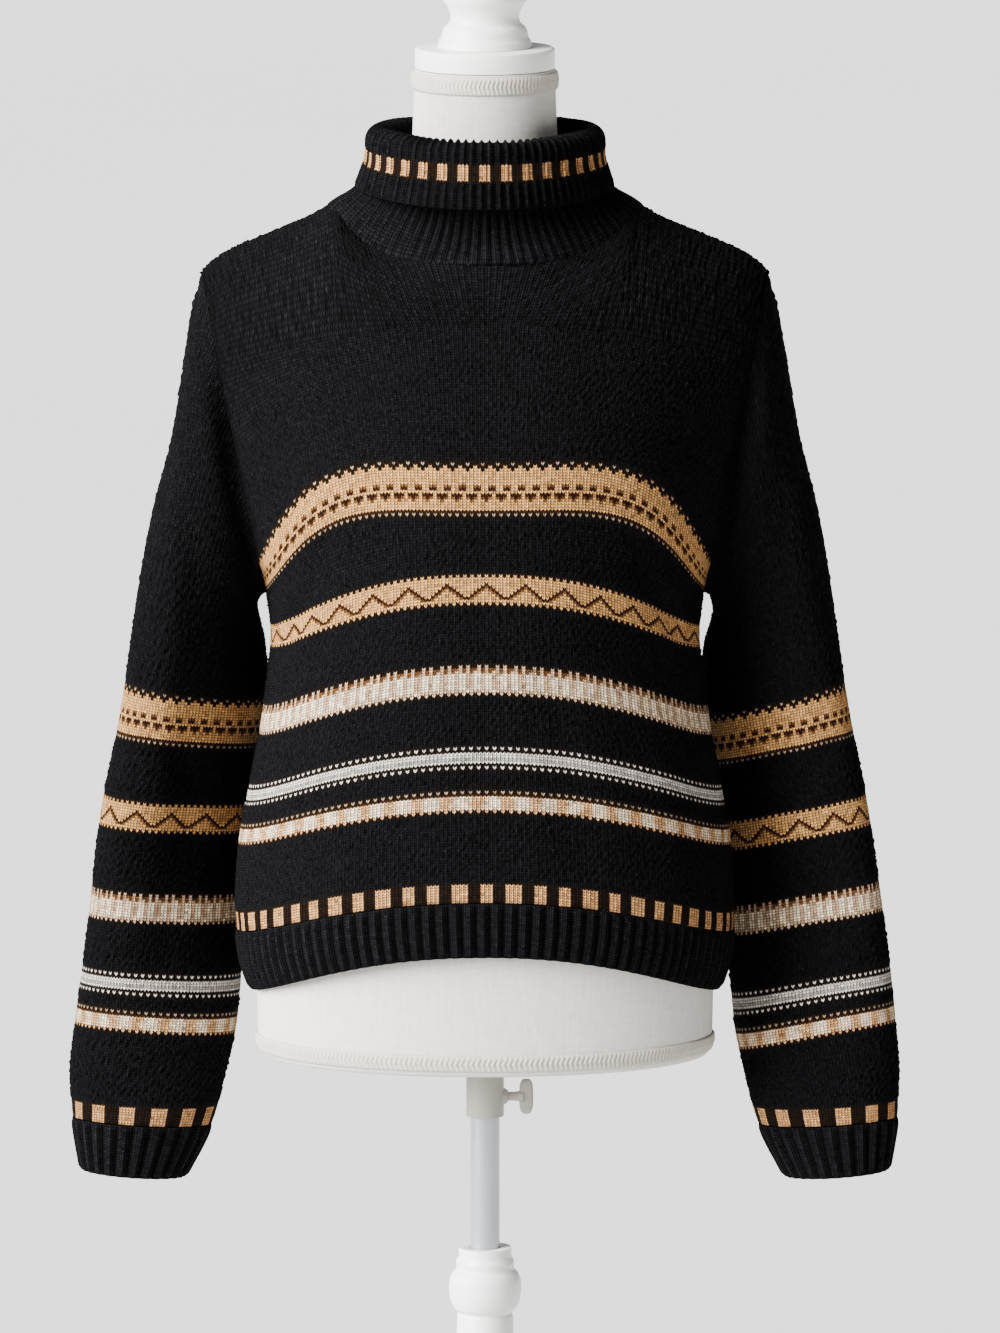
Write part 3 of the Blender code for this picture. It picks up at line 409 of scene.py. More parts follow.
def collar_rings(turn):
    """Sections of the collar: up from the neck seam, over a round roll and down outside to its flared
    edge."""
    rings = [neckline(turn)]
    rings += [collar_ring(turn, *row[1:]) for row in COLLAR_ROWS]
    wall = COLLAR_ROWS[-1][1:]
    for step in range(1, ROLL_STEPS + 1):
        angle = math.pi * step / ROLL_STEPS
        out, lift = ROLL_RADIUS * (1 - math.cos(angle)), ROLL_RADIUS * math.sin(angle)
        grown = [wall[0] + out, wall[1] + out, wall[2] + out, wall[3] + lift, wall[4] + lift, wall[5] + lift]
        rings.append(collar_ring(turn, *grown))
    rings += [collar_ring(turn, *row[1:]) for row in OUTER_ROWS]
    return np.array(rings)


def collar_surface(turn, along):
    """Folded tube. turn goes round it from the front, and along is 0 at the neck seam and 1 at the flared
    edge."""
    knots = knots_of(collar_rings(all_round(COLLAR_POINTS)))
    return smooth(knots, collar_rings(turn), along * knots[-1])


def panel_across():
    """Values of across for the panels' columns, closer together over the neckline."""
    side = np.linspace(NECK_SHARE, 1, SIDE_COLUMNS + 1)[1:]
    return np.concatenate([-side[::-1], np.linspace(-NECK_SHARE, NECK_SHARE, NECK_COLUMNS + 1), side])


# Stitches
WALE, SLEEVE_WALE, COURSE = 0.00295, 0.00250, 0.0022  # width of a stitch, and height of a row
STITCH_VARIES, BLACK_VARIES = 0.20, 0.30  # share by which stitches of one yarn differ in lightness
STITCH_DARKEST, STITCH_LIGHTEST = 0.4, 1.8  # limits of that, as shares of the yarn's own lightness
LEAN = 0.30  # of a course by which a stitch's legs rise and fall from its middle
COARSE = 4  # the inside of a panel or sleeve has one face for this many each way
EDGE_COURSES = 2.5  # over which a wall thins towards its border
# Share of its thickness that a wall keeps at a seam, at an armhole or side seam, at a hem rib's side and
# at a free edge
SEAM_THIN, ARMHOLE_THIN, HEM_SIDE_THIN, FREE_THIN = 0.85, 0.70, 0.45, 0.30

# Relief, along the normal
MOSS_ACROSS, MOSS_UP, MOSS_HIGH = 0.0058, 0.0078, 0.00095
MOSS_WARP, MOSS_GRAIN = 0.0007, 0.0046  # how far its rows wander, and the size of its random bumps
MOSS_FALLING, MOSS_RISING, MOSS_RANDOM, MOSS_SUM = 0.7, 0.55, 0.85, 1.6  # shares of its waves, their divisor
MOSS_NEAR_BAND = (0.3, 0.7, 1, 0.7, 0.3)  # share of the bumps that a band's row takes from the rows about it
UNEVEN_HIGH, UNEVEN_WIDE = 0.00012, 0.007
DRAPE_HIGH, DRAPE_WIDE = 0.0009, 0.11  # of the slow unevenness of hanging cloth
DRAPE_UP = 0.45  # share at which lengths up the cloth count in it, so that its waves are longer that way
FOLD_FADE = 0.3  # share of its length over which a crease fades out at each end
RIB_COLUMNS, RIB_FADE_ROWS = 6, 3
RIB_SHAPE = (-1.0, -0.35, 0.75, 1.0, 0.75, -0.35)  # height of the columns of one rib, as a share of RIB_HIGH
RIB_HIGH, COLLAR_RIB_HIGH = 0.0015, 0.0014
HEM_RIB_COLUMNS, CUFF_COLUMNS = 53 * RIB_COLUMNS + 2, 26 * RIB_COLUMNS
COLLAR_RIBS = 84
COLLAR_RIB_SHAPE = (-1.0, 0.4, 1.0, 1.0, 0.4)
COLLAR_BLOCK_SHAPE = (-0.3, 0.6, 0.5, -1.0, 0.5, 0.6, -0.3, -0.1, 0.1, 0.1, 0.1, -0.1)  # light, then dark
COLLAR_BLOCK_HIGH = 0.8  # of its blocks, as a share of COLLAR_RIB_HIGH
COLLAR_RIB_START, COLLAR_RIB_GROWS = 0.6, 7  # share of their height at the neck seam, and courses up to all
COLLAR_SOFT, COLLAR_SOFT_WIDE = 0.0006, 0.07  # its slow unevenness
COLLAR_VARIES, COLLAR_VARIES_WIDE = 0.15, 0.05  # share by which its relief varies in height, over this size

# Charts. Each band is written from its top row down, and each row repeats round the body.
# k black, d dark brown next to a band, b beige, n brown, g grey-beige, t tan, c cream, w grey-white,
# v the same, a little darker, m brown and beige twisted together, s sand, x cream and tan patches.
ZIGZAG_STEPS = (0, 1, 2, 3, 4, 5, 5, 4, 3, 2, 1)  # row of its brown stitch in each column, from the top
ZIGZAG_ROWS = tuple("".join("n" if row == step else "m" if row == step + 1 else "b" for step in ZIGZAG_STEPS)
                    for row in range(max(ZIGZAG_STEPS) + 1))
WIDE_BAND = ("dddg", "dbdd", "bbbd", *["bbbb"] * 5, "bmmb", "bnnb", "bbbb", "nnbn", "nmbm", "mbbb",
             *["bbbb"] * 3, "nnnn", "gdgd")
ZIGZAG_BAND = ("bd", "b", "b", *ZIGZAG_ROWS, "b", "db")
CREAM_BAND = ("sddsd", "smmsm", "smssm", *["ccssccs"] * 6, "sscssss", "sd")
WHITE_BAND = ("wd", "d", "w", "w", "v", "w", "d", "wd")
PATCH_BAND = ("gd", "n", *["x"] * 5, "td")
PATCH_PERIOD, PATCH_VARIES = 7.0, 0.16  # length of a tan and a cream patch, and how much their mix varies
PATCH_SWING, PATCH_DRIFT, PATCH_DRIFT_WALES = 0.55, 0.7, 9  # of the mix's wave, and of its change of length
BLOCK_ROWS = 7
HEM_BLOCK_PERIOD, CUFF_BLOCK_PERIOD, BLOCK_FILL = 6.4, 10.0, 0.53  # in stitches, and the light share of it
YARNS = {
    "k": (9, 9, 11), "d": (19, 11, 5), "b": (176, 130, 80), "n": (36, 17, 6), "g": (128, 108, 84),
    "t": (166, 122, 80), "c": (214, 194, 166), "w": (182, 175, 166), "v": (140, 134, 128),
    "m": (86, 54, 28), "s": (170, 140, 112),
}
YARN_NAMES = "".join(YARNS)

# Height in the middle of the front, or on a sleeve's outer edge, of each band's lowest row.
BODY_BANDS = ((WIDE_BAND, 1.2601), (ZIGZAG_BAND, 1.1896), (CREAM_BAND, 1.1165), (WHITE_BAND, 1.0570),
              (PATCH_BAND, 1.0222))
SLEEVE_BANDS = {
    -1: ((WIDE_BAND, 1.0620), (ZIGZAG_BAND, 0.9892), (CREAM_BAND, 0.9163), (WHITE_BAND, 0.8572),
         (PATCH_BAND, 0.8262)),
    1: ((WIDE_BAND, 1.0629), (ZIGZAG_BAND, 0.9908), (CREAM_BAND, 0.9196), (WHITE_BAND, 0.8563),
        (PATCH_BAND, 0.8294)),
}
COLLAR_BLOCKS_MIDDLE = 1.5256
COLLAR_BLOCK_ROWS, COLLAR_LIGHT_WALES = 6, 3

ARMHOLE_REACH, ARMHOLE_SINK = 0.0030, 0.0010  # how far a sleeve's top lies inside and under the panels
REACH_TOP_FADE, REACH_FOOT_FADE = 0.4, 0.6  # angles over which that fades to the corner and the underarm
REACH_FOOT = 0.4  # share of it that is left at the underarm
NECK_RUN = 0.0030  # how far the collar reaches in under the panels
NECK_FILL, NECK_FILL_WIDE = 0.0025, 0.012  # by which the cloth is fuller along the neck seam
NECK_FILL_TO, NECK_FILL_FADE = 1.2, 0.2  # where that ends and its fading, in half widths of the neckline
CALM_COURSES = 14  # over which the creases fade out towards a border
GUTTER_DEEP, GUTTER_WIDE = 0.0085, 0.012  # of the valley along the armhole
GUTTER_TOP, GUTTER_TOP_FADE = 0.92, 0.5  # share of the armhole's height at which it ends, and of its fading
GUTTER_FOOT, GUTTER_FOOT_FADE = 0.6, 0.12  # how far it has grown at its foot, and share over which it grows
GUTTER_SOFT = 0.03  # distance from the middle of the sleeve's depth at which it is whole
TUCK_COURSES = 9  # over which a sleeve's top turns in to the armhole
SLEEVE_TWIST = {-1: 0.006, 1: 0.022}  # by which a sleeve's rows lie lower at its inner edge, as it hangs
TWIST_CALM = 40  # courses over which that fades out at each end
SHOULDER_RUN = 0.0009  # how far the front and the back overlap at the shoulder and under the collar
BAND_LIFT = 0.080  # by which the wide band lies flatter, growing and fading at these heights in the middle
LIFT_FROM, LIFT_TO = (1.225, 1.262), (1.315, 1.390)
LIFT_NEAR, LIFT_FAR = 2.8, 4.6  # powers of the distance from the middle that shape it towards the sides

# Soft creases: start and end as (distance round from the middle, height up from the seam), width, height.
FRONT_FOLDS = (
    ((0.205, 0.235), (0.125, 0.300), 0.010, -0.0030),
    ((-0.205, 0.235), (-0.130, 0.310), 0.010, -0.0030),
    ((0.075, 0.020), (0.055, 0.200), 0.014, -0.0022),
    ((-0.110, 0.015), (-0.120, 0.160), 0.016, 0.0018),
    ((0.165, 0.010), (0.150, 0.170), 0.013, 0.0018),
)
BACK_FOLDS = (
    ((0.200, 0.230), (0.110, 0.300), 0.012, -0.0028),
    ((-0.200, 0.230), (-0.115, 0.310), 0.012, -0.0028),
    ((0.060, 0.015), (0.070, 0.190), 0.016, 0.0020),
    ((-0.090, 0.015), (-0.075, 0.150), 0.014, -0.0020),
)
SLEEVE_FOLDS = {
    -1: (((-0.050, 0.250), (-0.045, 0.520), 0.012, 0.0030),
         ((-0.030, 0.330), (-0.095, 0.280), 0.009, -0.0025),
         ((-0.070, 0.120), (-0.085, 0.250), 0.012, -0.0020),
         ((0.060, 0.180), (0.070, 0.420), 0.013, 0.0025)),
    1: (((-0.055, 0.240), (-0.040, 0.520), 0.012, 0.0030),
        ((-0.028, 0.320), (-0.090, 0.270), 0.009, -0.0025),
        ((-0.060, 0.110), (-0.080, 0.230), 0.012, -0.0020),
        ((0.065, 0.160), (0.060, 0.400), 0.013, 0.0025)),
}


def linear(colour):
    """Screen colour of 0 to 255 as light."""
    share = np.asarray(colour, float) / 255
    return np.where(share <= 0.04045, share / 12.92, ((share + 0.055) / 1.055) ** 2.4)


def soft_step(value):
    """0 to 1 with level ends."""
    held = np.clip(value, 0, 1)
    return held * held * (3 - 2 * held)


def waves(u, v, size, seed, count=7):
    """Unevenness between about -1 and 1: a sum of cosines in random directions, of about this size."""
    chance = np.random.default_rng(seed)
    angle, phase = chance.uniform(0, 2 * math.pi, (2, count))
    pitch = size * chance.uniform(0.7, 1.5, count)
    total = sum(np.cos(2 * math.pi * (u * math.cos(a) + v * math.sin(a)) / p + f)
                for a, p, f in zip(angle, pitch, phase))
    return total / math.sqrt(count)


def moss(u, v):
    """Small uneven bumps: a wave whose crests fall to the right, one that rises, and random ones."""
    u = u + MOSS_WARP * waves(u, v, 0.016, 3)
    v = v + MOSS_WARP * waves(u, v, 0.014, 4)
    falling = np.cos(2 * math.pi * (u / MOSS_ACROSS + v / MOSS_UP))
    rising = np.cos(2 * math.pi * (u / MOSS_ACROSS - v / MOSS_UP))
    random = waves(u, v, MOSS_GRAIN, 5, 13)
    return (MOSS_FALLING * falling + MOSS_RISING * rising + MOSS_RANDOM * random) / MOSS_SUM


def ridge(u, v, start, end, width, height):
    """A soft crease from start to end: a bell across its line, fading out past its ends."""
    start, end = np.array(start), np.array(end)
    run = end - start
    length = np.linalg.norm(run)
    along = ((u - start[0]) * run[0] + (v - start[1]) * run[1]) / length
    off = ((u - start[0]) * run[1] - (v - start[1]) * run[0]) / length
    end_run = FOLD_FADE * length
    fade = soft_step(along / end_run + 0.5) * soft_step((length - along) / end_run + 0.5)
    return height * np.exp(-0.5 * (off / width) ** 2) * fade


def surface_frame(grid, closed):
    """Unit normals from the slopes of a grid of points, away from the middle of its bottom row, whether
    they had to be turned round for that, and the distance of each point along its row from its middle."""
    wide = np.concatenate([grid[:, -1:], grid, grid[:, :1]], axis=1) if closed else grid
    across = np.gradient(wide, axis=1)[:, 1:-1] if closed else np.gradient(wide, axis=1)
    normal = np.cross(across, np.gradient(grid, axis=0))
    normal /= np.maximum(np.linalg.norm(normal, axis=-1, keepdims=True), 1e-12)
    outward = np.sum(normal[0] * (grid[0] - grid[0].mean(axis=0)))
    steps = np.linalg.norm(np.diff(grid, axis=1), axis=-1)
    reach = np.concatenate([np.zeros((len(grid), 1)), np.cumsum(steps, axis=1)], axis=1)
    return normal * np.sign(outward), outward < 0, reach - reach[:, grid.shape[1] // 2, None]


def border_thickness(rows, columns, start, end, sides):
    """Share of the wall that is left near each border, growing to 1 over a few courses."""
    row, column = np.arange(rows), np.arange(columns)
    share = start + (1 - start) * soft_step(row / EDGE_COURSES)
    share = np.minimum(share, end + (1 - end) * soft_step((rows - 1 - row) / EDGE_COURSES))
    if sides is None:
        return np.repeat(share[:, None], columns, axis=1)
    edge = np.minimum(column, columns - 1 - column) / EDGE_COURSES
    return np.minimum(share[:, None], sides + (1 - sides) * soft_step(edge))


def quads(index, closed, turned):
    """Corners of the faces over a grid of point numbers, and the column and row of each corner."""
    if closed:
        index = np.concatenate([index, index[:, :1]], axis=1)
    row, column = np.meshgrid(np.arange(index.shape[0] - 1), np.arange(index.shape[1] - 1), indexing="ij")
    rows = np.stack([row, row, row + 1, row + 1], axis=-1).reshape(-1, 4)
    columns = np.stack([column, column + 1, column + 1, column], axis=-1).reshape(-1, 4)
    if turned:
        rows, columns = rows[:, ::-1], columns[:, ::-1]
    return index[rows, columns], columns, rows


def border_strip(fine, coarse, turned):
    """Triangles that join a fine border to a coarser one: a fan from each coarse corner to its half."""
    step = (len(fine) - 1) // (len(coarse) - 1)
    first = np.arange(len(coarse) - 1)
    here, beside, half = coarse[first], coarse[first + 1], step // 2
    fans = [(here, fine[first * step + i], fine[first * step + i + 1]) for i in range(half)]
    fans.append((here, fine[first * step + half], beside))
    fans += [(beside, fine[first * step + i], fine[first * step + i + 1]) for i in range(half, step)]
    made = np.concatenate([np.stack(fan, axis=1) for fan in fans])
    return made[:, ::-1] if turned else made


def chart_codes(courses, wales, bands, middle):
    """Number of the yarn of each stitch. bands holds (lowest course, chart); middle is the centre wale."""
    codes = np.zeros((courses, wales), int)
    for low, chart in bands:
        for number, row in enumerate(reversed(chart)):
            letters = np.array([YARN_NAMES.index(letter) if letter != "x" else -1 for letter in row])
            if 0 <= low + number < courses:
                codes[low + number] = letters[(np.arange(wales) - middle) % len(row)]
    return codes


def stitch_colours(codes, seed):
    """Colour of each stitch, and in alpha how much of the small bumps its row has. The patches run from
    tan to cream along a wave of uneven length. All yarns vary a little from stitch to stitch, and black
    stitches in and next to a band are a little brown."""
    chance = np.random.default_rng(seed)
    palette = linear(list(YARNS.values()))
    colours = palette[np.maximum(codes, 0)]
    wale = np.arange(codes.shape[1])
    drift = PATCH_DRIFT * np.sin(wale / PATCH_DRIFT_WALES)
    patch = 0.5 + PATCH_SWING * np.cos(2 * math.pi * wale / PATCH_PERIOD + drift)
    patch = np.clip(patch + chance.normal(0, PATCH_VARIES, codes.shape), 0, 1)[..., None]
    tan, cream = palette[YARN_NAMES.index("t")], palette[YARN_NAMES.index("c")]
    colours = np.where((codes == -1)[..., None], tan + (cream - tan) * patch, colours)
    ground = codes == YARN_NAMES.index("k")
    varies = np.where(ground, BLACK_VARIES, STITCH_VARIES) * chance.normal(0, 1, codes.shape)
    colours = colours * np.clip(1 + varies, STITCH_DARKEST, STITCH_LIGHTEST)[..., None]
    in_band = ~ground.all(axis=1)
    near = np.convolve(in_band, [1, 1, 1], mode="same") > 0
    brown = palette[YARN_NAMES.index("d")]
    colours = np.where((near[:, None] & ground)[..., None], 0.5 * (brown + colours), colours)
    mossy = 1 - np.minimum(np.convolve(in_band, MOSS_NEAR_BAND, mode="same"), 1)
    return np.concatenate([colours, np.repeat(mossy[:, None, None], codes.shape[1], axis=1)], axis=-1)


def shell_walls(place, courses, columns, wall, folds, relief, thin, step):
    """Points of the outside and the inside, whether their faces are turned round, and the height that the
    shade follows. Half the wall lies on each side of place(columns, courses), moved along the normal by
    folds(along the row, up, column), and relief is added on its outside. Rows of even columns are taken a
    little higher and of odd ones lower, which leans the stitches. The inside has every step-th point."""
    closed = thin[2] is None
    points = columns if closed else columns + 1
    course, column = np.arange(courses + 1, dtype=float), np.arange(points, dtype=float)
    level = place(column, course)
    normal, turned, reach = surface_frame(level, closed)
    lean = LEAN * ((course > 0) & (course < courses))
    high, low = place(column, course + lean), place(column, course - lean)
    leant = np.where((column % 2 == 0)[None, :, None], high, low)
    up = np.repeat(course[:, None] * COURSE, points, axis=1)
    column = np.repeat(column[None], courses + 1, axis=0)
    share = border_thickness(courses + 1, points, *thin)
    fold, lift = folds(reach, up, column), relief(reach, up, column)
    outer = leant + normal * (fold + share * (wall / 2 + lift))[..., None]
    inner = (leant if step == 1 else level) + normal * (fold - share * wall / 2)[..., None]
    return outer, inner[::step, ::step], turned, fold if step == 1 else lift


def shell_parts(outer, inner, turned, closed, step):
    """Faces over the outside, over the inside and between their borders: for each of the three the point,
    the column and the row of every corner."""
    outer_index = np.arange(outer[..., 0].size).reshape(outer.shape[:2])
    inner_index = outer_index.size + np.arange(inner[..., 0].size).reshape(inner.shape[:2])
    parts = []
    for index, faces_turned, scale in ((outer_index, turned, 1), (inner_index, not turned, step)):
        faces, column, row = quads(index, closed, faces_turned)
        parts.append((faces, column * scale, row * scale))
    if closed:
        outer_index, inner_index = (np.concatenate([index, index[:, :1]], axis=1)
                                    for index in (outer_index, inner_index))
    borders = [(outer_index[0], inner_index[0], not turned), (outer_index[-1], inner_index[-1], turned)]
    if not closed:
        borders += [(outer_index[:, 0], inner_index[:, 0], turned),
                    (outer_index[:, -1], inner_index[:, -1], not turned)]
    strips = np.concatenate([border_strip(*border) for border in borders])
    row, column = np.concatenate([np.indices(outer.shape[:2]).reshape(2, -1),
                                  np.indices(inner.shape[:2]).reshape(2, -1) * step], axis=1)
    return [*parts, (strips, column[strips], row[strips])]


def corner_tints(parts, colours, plain_inside):
    """Colour of each corner: that of the stitch in which its face starts, or ground yarn for all but the
    outside of a piece that is plain inside."""
    last_row, last_wale = colours.shape[0] - 1, colours.shape[1] - 1
    tints = []
    for number, (_, column, row) in enumerate(parts):
        first_row, first_wale = row.min(axis=1), column.min(axis=1) // 2
        picked = colours[np.clip(first_row, 0, last_row), np.clip(first_wale, 0, last_wale)]
        if number and plain_inside:
            picked = np.tile([*linear(YARNS["k"]), 0.5], (len(column), 1))
        tints.append(np.repeat(picked, column.shape[1], axis=0))
    return np.concatenate(tints)


def knit_shell(label, place, courses, columns, wall, colours, folds, relief, thin, both_fine=False):
    """Closed cloth shell in place of the solid of this name, with its stitches' colours on its corners and
    its relief, as a share of the highest, on its points. thin is the share of the wall left at its first
    row, its last row and its sides, and a tube has no sides."""
    step = 1 if both_fine else COARSE
    outer, inner, turned, lift = shell_walls(place, courses, columns, wall, folds, relief, thin, step)
    parts = shell_parts(outer, inner, turned, thin[2] is None, step)
    points = np.concatenate([outer.reshape(-1, 3), inner.reshape(-1, 3)])
    mesh = bpy.data.meshes.new(f"{label}_knit")
    mesh.from_pydata(points.tolist(), [], [face for faces, _, _ in parts for face in faces.tolist()])
    uv = np.concatenate([np.stack([column / 2, row], axis=-1).reshape(-1, 2) for _, column, row in parts])
    mesh.uv_layers.new(name="stitches").data.foreach_set("uv", uv.astype(np.float32).ravel())
    tints = corner_tints(parts, colours, not both_fine).astype(np.float32)
    mesh.color_attributes.new("yarn", "FLOAT_COLOR", "CORNER").data.foreach_set("color", tints.ravel())
    # The relief on the points is what the wool finish turns into painted shade in hollows and painted light
    # on ridges.
    heights = np.zeros(len(points))
    heights[:lift.size] = lift.ravel() / max(abs(lift).max(), 1e-9)
    if both_fine:
        heights[lift.size:] = -heights[:lift.size]
    mesh.attributes.new("relief", "FLOAT", "POINT").data.foreach_set("value", heights.astype(np.float32))
    return new_piece(mesh.name, mesh, KNIT, [label], "form")


def placed(name, data):
    """A new object of this mesh, light or camera, in the scene."""
    thing = bpy.data.objects.new(name, data)
    bpy.context.scene.collection.objects.link(thing)
    return thing


def new_piece(name, mesh, material, nodes, body):
    """The object of a mesh, riding on its body in place of these nodes."""
    mesh.shade_smooth()
    mesh.materials.append(material)
    piece = placed(name, mesh)
    if nodes:
        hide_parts(*nodes)
    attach(piece, body)
    return piece


def drawn_edges(grid, trims):
    """The grid with its borders moved in by these lengths, or out where they are below 0: first row, last
    row, first and last column."""
    grid = grid.copy()
    for (border, beside, axis), trim in zip(((0, 1, 0), (-1, -2, 0), (0, 1, 1), (-1, -2, 1)), trims):
        edge, inner = grid.take(border, axis), grid.take(beside, axis)
        step = inner - edge
        length = np.linalg.norm(step, axis=-1, keepdims=True)
        grid[(slice(None), border) if axis else border] = edge + step * np.minimum(trim / length, 0.8)
    return grid


def four_times(count):
    """The nearest multiple of 4."""
    return int(round(count / 4)) * 4


class Panel:
    """Front or back. Columns are evenly spaced along the cream band's section, and courses by the length
    of the middle column; the back takes the front's up to the underarm, so that the bands meet."""

    def __init__(self, face):
        """Measures the panel's columns, and the course at each part of the way up."""
        self.face = face
        fine = np.linspace(-1, 1, ACROSS_SAMPLES)
        line = panel_surface(fine, np.array([up_of("cream band", face)]), face)[0]
        lengths = path_lengths(line)
        self.columns = four_times(2 * lengths[-1] / WALE)
        self.across = np.interp(np.arange(self.columns + 1) / self.columns * lengths[-1], lengths, fine)
        self.ups = np.linspace(0, 2, UP_SAMPLES)
        middle = panel_surface(np.array([0.0]), self.ups, face)[:, 0]
        self.heights = middle[:, 2]
        self.course_at = path_lengths(middle) / COURSE
        self.course_at -= self.course_of(up_of("rib top", face))
        if face > 0:
            self.match_front()
        self.courses, self.rib_courses = four_times(self.course_at[-1]), four_times(-self.course_at[0])

    def match_front(self):
        """Takes the front's course numbers for the sections that both panels have, up to the underarm."""
        front, shared = Panel(-1), len(BODY_ROWS) + 1
        mine, theirs = (knots_of(body_rows(panel_across(), face)) for face in (1, -1))
        mine, theirs = mine[:shared] / mine[-1], front.course_of(theirs[:shared] / theirs[-1])
        below = smooth(mine, theirs, np.minimum(self.ups, mine[-1]))
        above = self.course_at - self.course_of(mine[-1]) + theirs[-1]
        self.course_at = np.where(self.ups < mine[-1], below, above)

    def course_of(self, up):
        """The course at this part of the way up."""
        return np.interp(up, self.ups, self.course_at)

    def course_at_height(self, height):
        """The course that lies at this height in the middle."""
        return int(round(np.interp(height, self.heights, self.course_at)))

    def grid(self, column, true_course):
        """Across and up of these columns and courses, and the points there."""
        across = np.interp(column, np.arange(self.columns + 1), self.across)
        ups = np.interp(true_course, self.course_at, self.ups)
        return across, ups, panel_surface(across, ups, self.face)

    def place(self, column, course):
        """Points of the panel from the rib's seam, course 0, to the shoulder. Between the middle and the
        sides, the front's rows about the wide band are taken further up."""
        across, ups, points = self.grid(column, course / self.courses * self.course_at[-1])
        if self.face < 0:
            heights = np.interp(ups, self.ups, self.heights)
            in_band = soft_step((heights - LIFT_FROM[0]) / (LIFT_FROM[1] - LIFT_FROM[0]))
            in_band *= soft_step((LIFT_TO[1] - heights) / (LIFT_TO[1] - LIFT_TO[0]))
            reach = np.abs(np.sin(across * math.pi / 2))
            shape = reach**LIFT_NEAR - reach**LIFT_FAR
            points = lifted(points, BAND_LIFT / COURSE * in_band[:, None] * shape)
        return gutter(drawn_edges(points, (SEAM_TRIM, -SHOULDER_RUN, SEAM_TRIM, SEAM_TRIM)))

    def place_rib(self, column, course):
        """Points of the hem rib from its edge, course 0, to its seam. It has its own number of columns."""
        true_course = (1 - course / self.rib_courses) * self.course_at[0]
        _, _, points = self.grid(column / HEM_RIB_COLUMNS * self.columns, true_course)
        return drawn_edges(points, (0, SEAM_TRIM, SEAM_TRIM, SEAM_TRIM))


def lifted(grid, rows_up):
    """The grid with each point taken this many rows further up the same surface, between two rows of it."""
    row = np.clip(np.arange(len(grid))[:, None] + rows_up, 0, len(grid) - 1)
    low = np.minimum(row.astype(int), len(grid) - 2)
    column, part = np.arange(grid.shape[1]), (row - low)[..., None]
    return grid[low, column] * (1 - part) + grid[low + 1, column] * part


def gutter(grid):
    """The grid with a deep valley along the armhole: a bell across its line, that moves the cloth towards
    the middle of the sleeve's depth, and fades out up to the shoulder."""
    rise = (grid[..., 2] - UNDERARM_Z) / (CORNER_Z - UNDERARM_Z)
    off = np.abs(grid[..., 0]) - UNDERARM_OUT - (CORNER_OUT - UNDERARM_OUT) * np.clip(rise, 0, 1)
    deep = GUTTER_DEEP * np.exp(-((off / GUTTER_WIDE) ** 2))
    deep = deep * soft_step((GUTTER_TOP - rise) / GUTTER_TOP_FADE)
    deep = deep * soft_step(rise / GUTTER_FOOT_FADE + GUTTER_FOOT)
    grid = grid.copy()
    grid[..., 1] += deep * np.clip((ARMHOLE_Y - grid[..., 1]) / GUTTER_SOFT, -1, 1)
    return grid


def path_lengths(points):
    """Distance along a row of points from its first."""
    return np.concatenate([[0], np.cumsum(np.linalg.norm(np.diff(points, axis=0), axis=1))])


def row_share(share_of_rows, rows):
    """A value for each row of stitches, taken to the rows of points between them."""
    return np.interp(np.arange(rows), np.arange(len(share_of_rows)) + 0.5, share_of_rows)[:, None]


def block_codes(courses, wales, middle, period):
    """Blocks of tan on dark brown over the first rows, round the hem or a cuff."""
    codes = np.full((courses, wales), 0)
    tan, brown = YARN_NAMES.index("t"), YARN_NAMES.index("d")
    share = ((np.arange(wales) - middle) / period + BLOCK_FILL / 2) % 1
    codes[:BLOCK_ROWS] = np.where(share < BLOCK_FILL, tan, brown)
    return codes


def upright_ribs(across, up, column):
    """Relief of upright ribs, fading out over the last rows towards the seam with a plain piece."""
    ribs = np.array(RIB_SHAPE)[column.astype(int) % RIB_COLUMNS] * RIB_HIGH
    rows_left = len(up) - 1 - np.arange(len(up))[:, None]
    return ribs * soft_step((rows_left + 0.5) / RIB_FADE_ROWS)


def bumps(colours, seed):
    """Relief of a panel or sleeve: small bumps on the rows that have no band, and a slight unevenness."""
    mossy = row_share(colours[:, 0, 3], len(colours) + 1)

    def relief(across, up, column):
        """Height at each point."""
        return MOSS_HIGH * mossy * moss(across, up) + UNEVEN_HIGH * waves(across, up, UNEVEN_WIDE, seed)
    return relief


def collar_ribs(low):
    """Ribs through the whole wall of the collar, a little uneven, but over the rows of its blocks, from
    low up, each light block is two raised columns with a groove between them."""
    def moved(across, up, column):
        """Distance along the normal at each point."""
        count = column.astype(int)
        ribs = np.array(COLLAR_RIB_SHAPE)[count % len(COLLAR_RIB_SHAPE)]
        blocks = np.array(COLLAR_BLOCK_SHAPE)[count % len(COLLAR_BLOCK_SHAPE)] * COLLAR_BLOCK_HIGH
        rows = np.arange(len(up))[:, None]
        ring = soft_step(rows - low + 1) * soft_step(low + COLLAR_BLOCK_ROWS + 1 - rows)
        grown = COLLAR_RIB_START + (1 - COLLAR_RIB_START) * soft_step(rows / COLLAR_RIB_GROWS)
        shape = (ribs + (blocks - ribs) * ring) * COLLAR_RIB_HIGH * grown
        soft = COLLAR_SOFT * waves(across, up, COLLAR_SOFT_WIDE, 13)
        full = NECK_FILL * np.exp(-((up / NECK_FILL_WIDE) ** 2))
        return shape * (1 + COLLAR_VARIES * waves(across, up, COLLAR_VARIES_WIDE, 12)) + (soft + full)
    return moved


